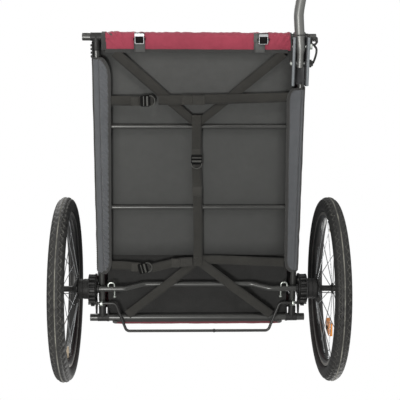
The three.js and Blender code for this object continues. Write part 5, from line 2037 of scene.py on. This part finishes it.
def back_strap(name, points, width):
    """A strap lying on the seat back, through (x, along, out) points."""
    path = smooth_path([back_point(*p) for p in points], 6)
    made = joined_piece(name, [ribbon(path, width, 0.0018, BACK_OUT)], "webbing")
    path_length(path)
    width * path_length(path)
    return folding(made)


def make_harness():
    """Shoulder straps with pads, waist straps and the strap between the legs."""
    top = SEAT["thick"] + 0.0060
    first = None
    for side, s in SIDES:
        made = back_strap(f"shoulder_strap_{side}",
                          [(s * 0.060, 0.410, top - 0.002), (s * 0.0585, 0.30, top),
                           (s * 0.056, 0.18, top + 0.001), (s * 0.036, 0.100, top + 0.004),
                           (s * 0.014, 0.082, top + 0.006)], 0.025)
        if first is None:
            first = made
        pad = [(s * 0.0590, 0.345, top + 0.004), (s * 0.0580, 0.27, top + 0.005),
               (s * 0.0560, 0.195, top + 0.005)]
        path = smooth_path([back_point(*p) for p in pad], 8)
        scale = [0.86] + [1.0] * (len(path) - 2) + [0.86]
        tube = sweep(path, strap_section(0.046, 0.0085, 5), BACK_OUT, scale=scale)
        sleeve = joined_piece(f"shoulder_pad_{side}", [tube], "pad")
        folding(sleeve)
        back_strap(f"waist_strap_{side}", [(s * 0.132, 0.060, top - 0.003), (s * 0.09, 0.066, top),
                                           (s * 0.050, 0.070, top + 0.005), (s * 0.018, 0.073,
                                                                             top + 0.007)], 0.025)
    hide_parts("harness_straps")
    back_strap("crotch_strap", [(0, 0.012, top - 0.002), (0, 0.030, top + 0.004), (0, 0.055, top + 0.007)],
               0.030)
    make_harness_buckle()


def own_outline(points, low, high):
    """A plate lying on the seat back: an outline of (x, along), from out = low to high."""
    verts = [back_point(x, a, h) for h in (low, high) for x, a in points]
    return verts, prism_faces(len(points)), [(x, a) for x, a in points] * 2


def make_harness_buckle():
    """The buckle's shell and the button that is pressed into it."""
    shape = rounded_polygon([(-0.024, 0.098), (-0.0255, 0.066), (-0.014, 0.047), (0.014, 0.047),
                             (0.0255, 0.066), (0.024, 0.098)], 0.006, 4)
    low = SEAT["thick"] + 0.0036
    shell = outward(piece("buckle_shell", own_outline(shape, low, low + 0.0155), "buckle",
                          nodes=["harness_buckle"]))
    hole = rounded_polygon([(-0.0145, 0.0862), (-0.0145, 0.0578), (0.0145, 0.0578), (0.0145, 0.0862)],
                           0.003, 3)
    tool = solid("hole_tool", own_outline(hole, low + 0.007, low + 0.030), "buckle")
    bored(shell, tool)
    bevelled(shell, 0.0016, 3)
    folding(shell)
    button = rounded_polygon([(-0.0132, 0.0852), (-0.0132, 0.0588), (0.0132, 0.0588), (0.0132, 0.0852)],
                             0.003, 3)
    made = joined_piece("harness_release", [own_outline(button, low + 0.0112, low + 0.0178)], "button",
                        "belt_button", ["harness_button"], bevel=0.0012)
    folding(made)


# ---------------------------------------------------------------- drawbar, its bracket, pins and coupling
BAR = {"x": 0.255, "z": 0.2385, "bolt_y": -0.615, "pin_y": -0.657, "r": 0.0125, "swage": 0.0093,
       "rear": -0.604}
CHANNEL = {"half": 0.017, "wall": 0.004, "top": 0.2572, "low": 0.2260, "y0": -0.682, "y1": -0.5590}


def make_bracket():
    """A channel open downwards, its cheeks bored for the lock pin at both of the drawbar's positions."""
    half, wall, top, low = CHANNEL["half"], CHANNEL["wall"], CHANNEL["top"], CHANNEL["low"]
    inner, x = half - wall, BAR["x"]
    side = [(half - 0.002, top), (half, top - 0.002), (half, low + 0.0050), (half + 0.0036, low + 0.0034),
            (half + 0.0040, low + 0.0010), (half + 0.0026, low - 0.0002), (inner + 0.0008, low),
            (inner, low + 0.001), (inner, top - wall + 0.0003)]
    section = [(x + a, z) for a, z in side] + [(x - a, z) for a, z in reversed(side)]
    block = prism(section, 1, CHANNEL["y0"], CHANNEL["y1"])
    made = outward(piece("bracket_channel", block, "bracket", nodes=["drawbar_bracket"]))
    tools = []
    for y in (BAR["pin_y"], 2 * BAR["bolt_y"] - BAR["pin_y"]):
        hole = [(y + a, BAR["z"] + b) for a, b in circle(0.0046, 24)]
        tools.append(solid("hole", prism(hole, 0, x - 0.03, x + 0.03), "bracket"))
    for s in (-1, 1):
        bite = [(x + s * 0.0075, CHANNEL["y1"] - 0.006), (x + s * 0.0115, CHANNEL["y1"] + 0.004),
                (x + s * 0.0035, CHANNEL["y1"] + 0.004)]
        tools.append(solid("bite", prism(bite, 2, 0.2, 0.3), "bracket"))
    bored(made, *tools)
    bevelled(made, 0.0008, 2)
    lips = []
    for s in (-1, 1):
        path = [(x + s * 0.0184, y, low + 0.0002) for y in (-0.6815, -0.6805, -0.5605, -0.5595)]
        lips.append(sweep(path, circle(0.0035, 16), scale=[0.7, 1, 1, 0.7]))
    joined_piece("bracket_lips", lips, "lip")
    saddle = [disc(x - 0.015, x + 0.015, -0.6765, 0.270, 0.0142, 40, 0.001)]
    joined_piece("bracket_clamp", saddle, "plastic")


def make_bracket_bolt():
    """The bolt that the drawbar swings on, with its spacers and star knob."""
    y, z = BAR["bolt_y"], BAR["z"]
    shaft = [disc(0.2286, 0.2764, y, z, 0.0040, 20, 0.0006)]
    shaft.append(sweep([(0.2300, y, z), (0.2330, y, z)], circle(0.0068, 6)))
    joined_piece("bracket_bolt", shaft, "zinc")
    spacers = [disc(BAR["x"] + k * 0.0097, BAR["x"] + k * 0.0128, y, z, 0.0068, 28, 0.0005)
               for k in (-1, 1)]
    joined_piece("bracket_spacers", spacers, "bracket")
    lobes = []
    for i in range(72):
        t = 2 * math.pi * i / 72
        r = 0.0086 + 0.0013 * math.cos(6 * t)
        lobes.append((y + r * math.cos(t), z + r * math.sin(t)))
    low = prism(lobes, 0, 0.2758, 0.2838)
    crown = [(y + (a - y) * 0.72, z + (b - z) * 0.72) for a, b in lobes]
    joined_piece("star_knob", [low, prism(crown, 0, 0.2836, 0.2875)], "plastic",
                 nodes=["drawbar_bolt"], bevel=0.0009)


def make_lock_pin():
    """The pin that locks the drawbar."""
    x0, x1, y, z = 0.2331, 0.2762, BAR["pin_y"], BAR["z"]
    pin = sweep([(x, y, z) for x in (x0, x0 + 0.0025, x1)], circle(0.0040, 20), scale=[0.55, 1, 1])
    head = disc(0.2765, 0.2838, y, z, 0.0080, 32, 0.001)
    neck = disc(0.2755, 0.2768, y, z, 0.0058, 24, 0.0004)
    joined_piece("lock_pin_shaft", [pin, head, neck], "zinc", "tow_lock", ["lock_pin"])


def make_drawbar():
    """The drawbar's tube, slimmer where it sits in the bracket, and its end plug."""
    corners = [(BAR["x"], -0.650, BAR["z"]), (0.2480, -0.722, 0.2392), (0.2480, -0.748, 0.2396),
               (0.2535, -0.800, 0.2408), (0.251, -0.930, 0.2465)]
    bend = fillet([(0.2530, -0.870, 0.2440), (0.251, -0.930, 0.2465), (0.075, -1.110, 0.269),
                   (0.075, -1.186, 0.269)], 0.060, 14)
    path = smooth_path(corners[:-1] + [bend[1]], 6)[:-1] + bend[1:]
    neck = [(BAR["x"], y, BAR["z"]) for y in (BAR["rear"], BAR["rear"] - 0.0015, -0.6385)]
    full = [Vector(p) for p in neck] + [p for p in path if p.y < -0.6465]
    scale = [0.84, 1.0, 1.0] + [BAR["r"] / BAR["swage"]] * (len(full) - 3)
    tube = sweep(full, circle(BAR["swage"], 36), (0, 0, 1), scale=scale)
    joined_piece("drawbar_tube", [tube], "drawbar", "towbar", ["drawbar"])
    bung = sweep([(BAR["x"], BAR["rear"] + 0.0006, BAR["z"]), (BAR["x"], BAR["rear"] - 0.003, BAR["z"])],
                 circle(0.0056, 24))
    joined_piece("drawbar_bung", [bung], "plastic", "towbar")


def make_coupling():
    """The fork at the drawbar's front end, with its collar, clamp screw and pin."""
    low, high = level_box("coupling")
    x0, x1, y0, y1 = low.x, high.x, low.y, high.y
    slot_low, slot_high, back = 0.263, 0.275, -1.1963
    side = [(y1, low.z + 0.003), (y1 - 0.003, low.z), (y0 + 0.006, low.z), (y0, low.z + 0.005),
            (y0, slot_low), (back, slot_low), (back, slot_high), (y0, slot_high), (y0, high.z - 0.005),
            (y0 + 0.006, high.z), (y1 - 0.003, high.z), (y1, high.z - 0.003)]
    made = outward(piece("coupling_fork", prism(side, 0, x0, x1), "plastic", "towbar",
                         nodes=["coupling"]))
    pin_y = level_centre("hitch_pin").y
    hole = sweep([(0.075, pin_y, 0.24), (0.075, pin_y, 0.30)], circle(0.0044, 24), (0, 1, 0))
    bored(made, solid("hole_tool", hole, "plastic", "towbar"))
    bevelled(made, 0.0014, 3)
    collar = sweep([(0.075, y, 0.269) for y in (-1.1862, -1.1850, -1.1720, -1.1700)], circle(0.0148, 32),
                   scale=[0.95, 1, 1, 0.92])
    clamp = sweep([(0.075, -1.179, 0.2820), (0.075, -1.179, 0.2856)], circle(0.0042, 6), (0, 1, 0))
    joined_piece("coupling_collar", [collar], "plastic", "towbar")
    joined_piece("coupling_screw", [clamp], "zinc", "towbar", bevel=0.0006)
    low, high = level_box("hitch_pin")
    rod = sweep([(0.075, pin_y, z) for z in (low.z, low.z + 0.002, 0.2865)], circle(0.0040, 20), (0, 1, 0),
                scale=[0.6, 1, 1])
    head = sweep([(0.075, pin_y, z) for z in (0.2864, 0.2872, 0.2935, high.z)], circle(0.0090, 32),
                 (0, 1, 0), scale=[0.9, 1, 1, 0.86])
    joined_piece("hitch_pin_shaft", [rod, head], "zinc", "tow_pin", ["hitch_pin"])


TETHER = [(0.2870, -0.6165, 0.2390), (0.2905, -0.6225, 0.2405), (0.2940, -0.6320, 0.2435),
          (0.2965, -0.6420, 0.2475), (0.2968, -0.6510, 0.2530), (0.2925, -0.6575, 0.2570)]


def make_tether():
    """A stiff braided lanyard from the knob, wound once round before it enters the tube's end."""
    coil = []
    for i in range(25):
        t = 2 * math.pi * i / 13 + 1.2
        coil.append((0.2885 + 0.0030 * i / 24 + 0.0072 * math.cos(t), -0.6680 + 0.0075 * math.sin(t),
                     0.2520 + 0.0062 * i / 24))
    tail = [(0.2990, -0.6745, 0.2660), (0.2975, -0.6765, 0.2700), (0.2880, -0.6765, 0.2700)]
    base = sweep(smooth_path(TETHER + coil + tail, 5), circle(0.0028, 12), (0, 0, 1))
    joined_piece("tether_braid", [base], "braid", nodes=["pin_tether"])
    ferrule = sweep([(0.2850, -0.6150, 0.2386), (0.2890, -0.6190, 0.2398)], circle(0.0034, 14), (0, 0, 1))
    joined_piece("tether_ferrule", [ferrule], "plastic")
    loop = [(0.2800, -0.6830, 0.2560), (0.2740, -0.6860, 0.2420), (0.2640, -0.6875, 0.2262),
            (0.2550, -0.6870, 0.2232), (0.2440, -0.6868, 0.2262), (0.2360, -0.6850, 0.2420),
            (0.2330, -0.6835, 0.2540)]
    strand = sweep(smooth_path(loop, 6), circle(0.0012, 10), (0, 0, 1))
    joined_piece("tether_strand", [strand], "braid")

make_cross_tubes()
make_rails_and_bars()
make_tees()
make_axle()
make_foot_brake()
for wheel_side, wheel_sign in SIDES:
    make_wheel(wheel_side, wheel_sign)
make_axle_ends()
make_webbing()
make_buckles()
make_floor()
for flap_side, flap_sign in SIDES:
    make_flap(flap_side, flap_sign)
make_zip_end()
make_front_wrap()
make_rear_strip()
make_hoops()
make_handle()
make_walls()
make_roof()
make_front_cover()
make_rear_panel()
make_seat()
make_harness()
make_bracket()
make_bracket_bolt()
make_lock_pin()
make_drawbar()
make_coupling()
make_tether()
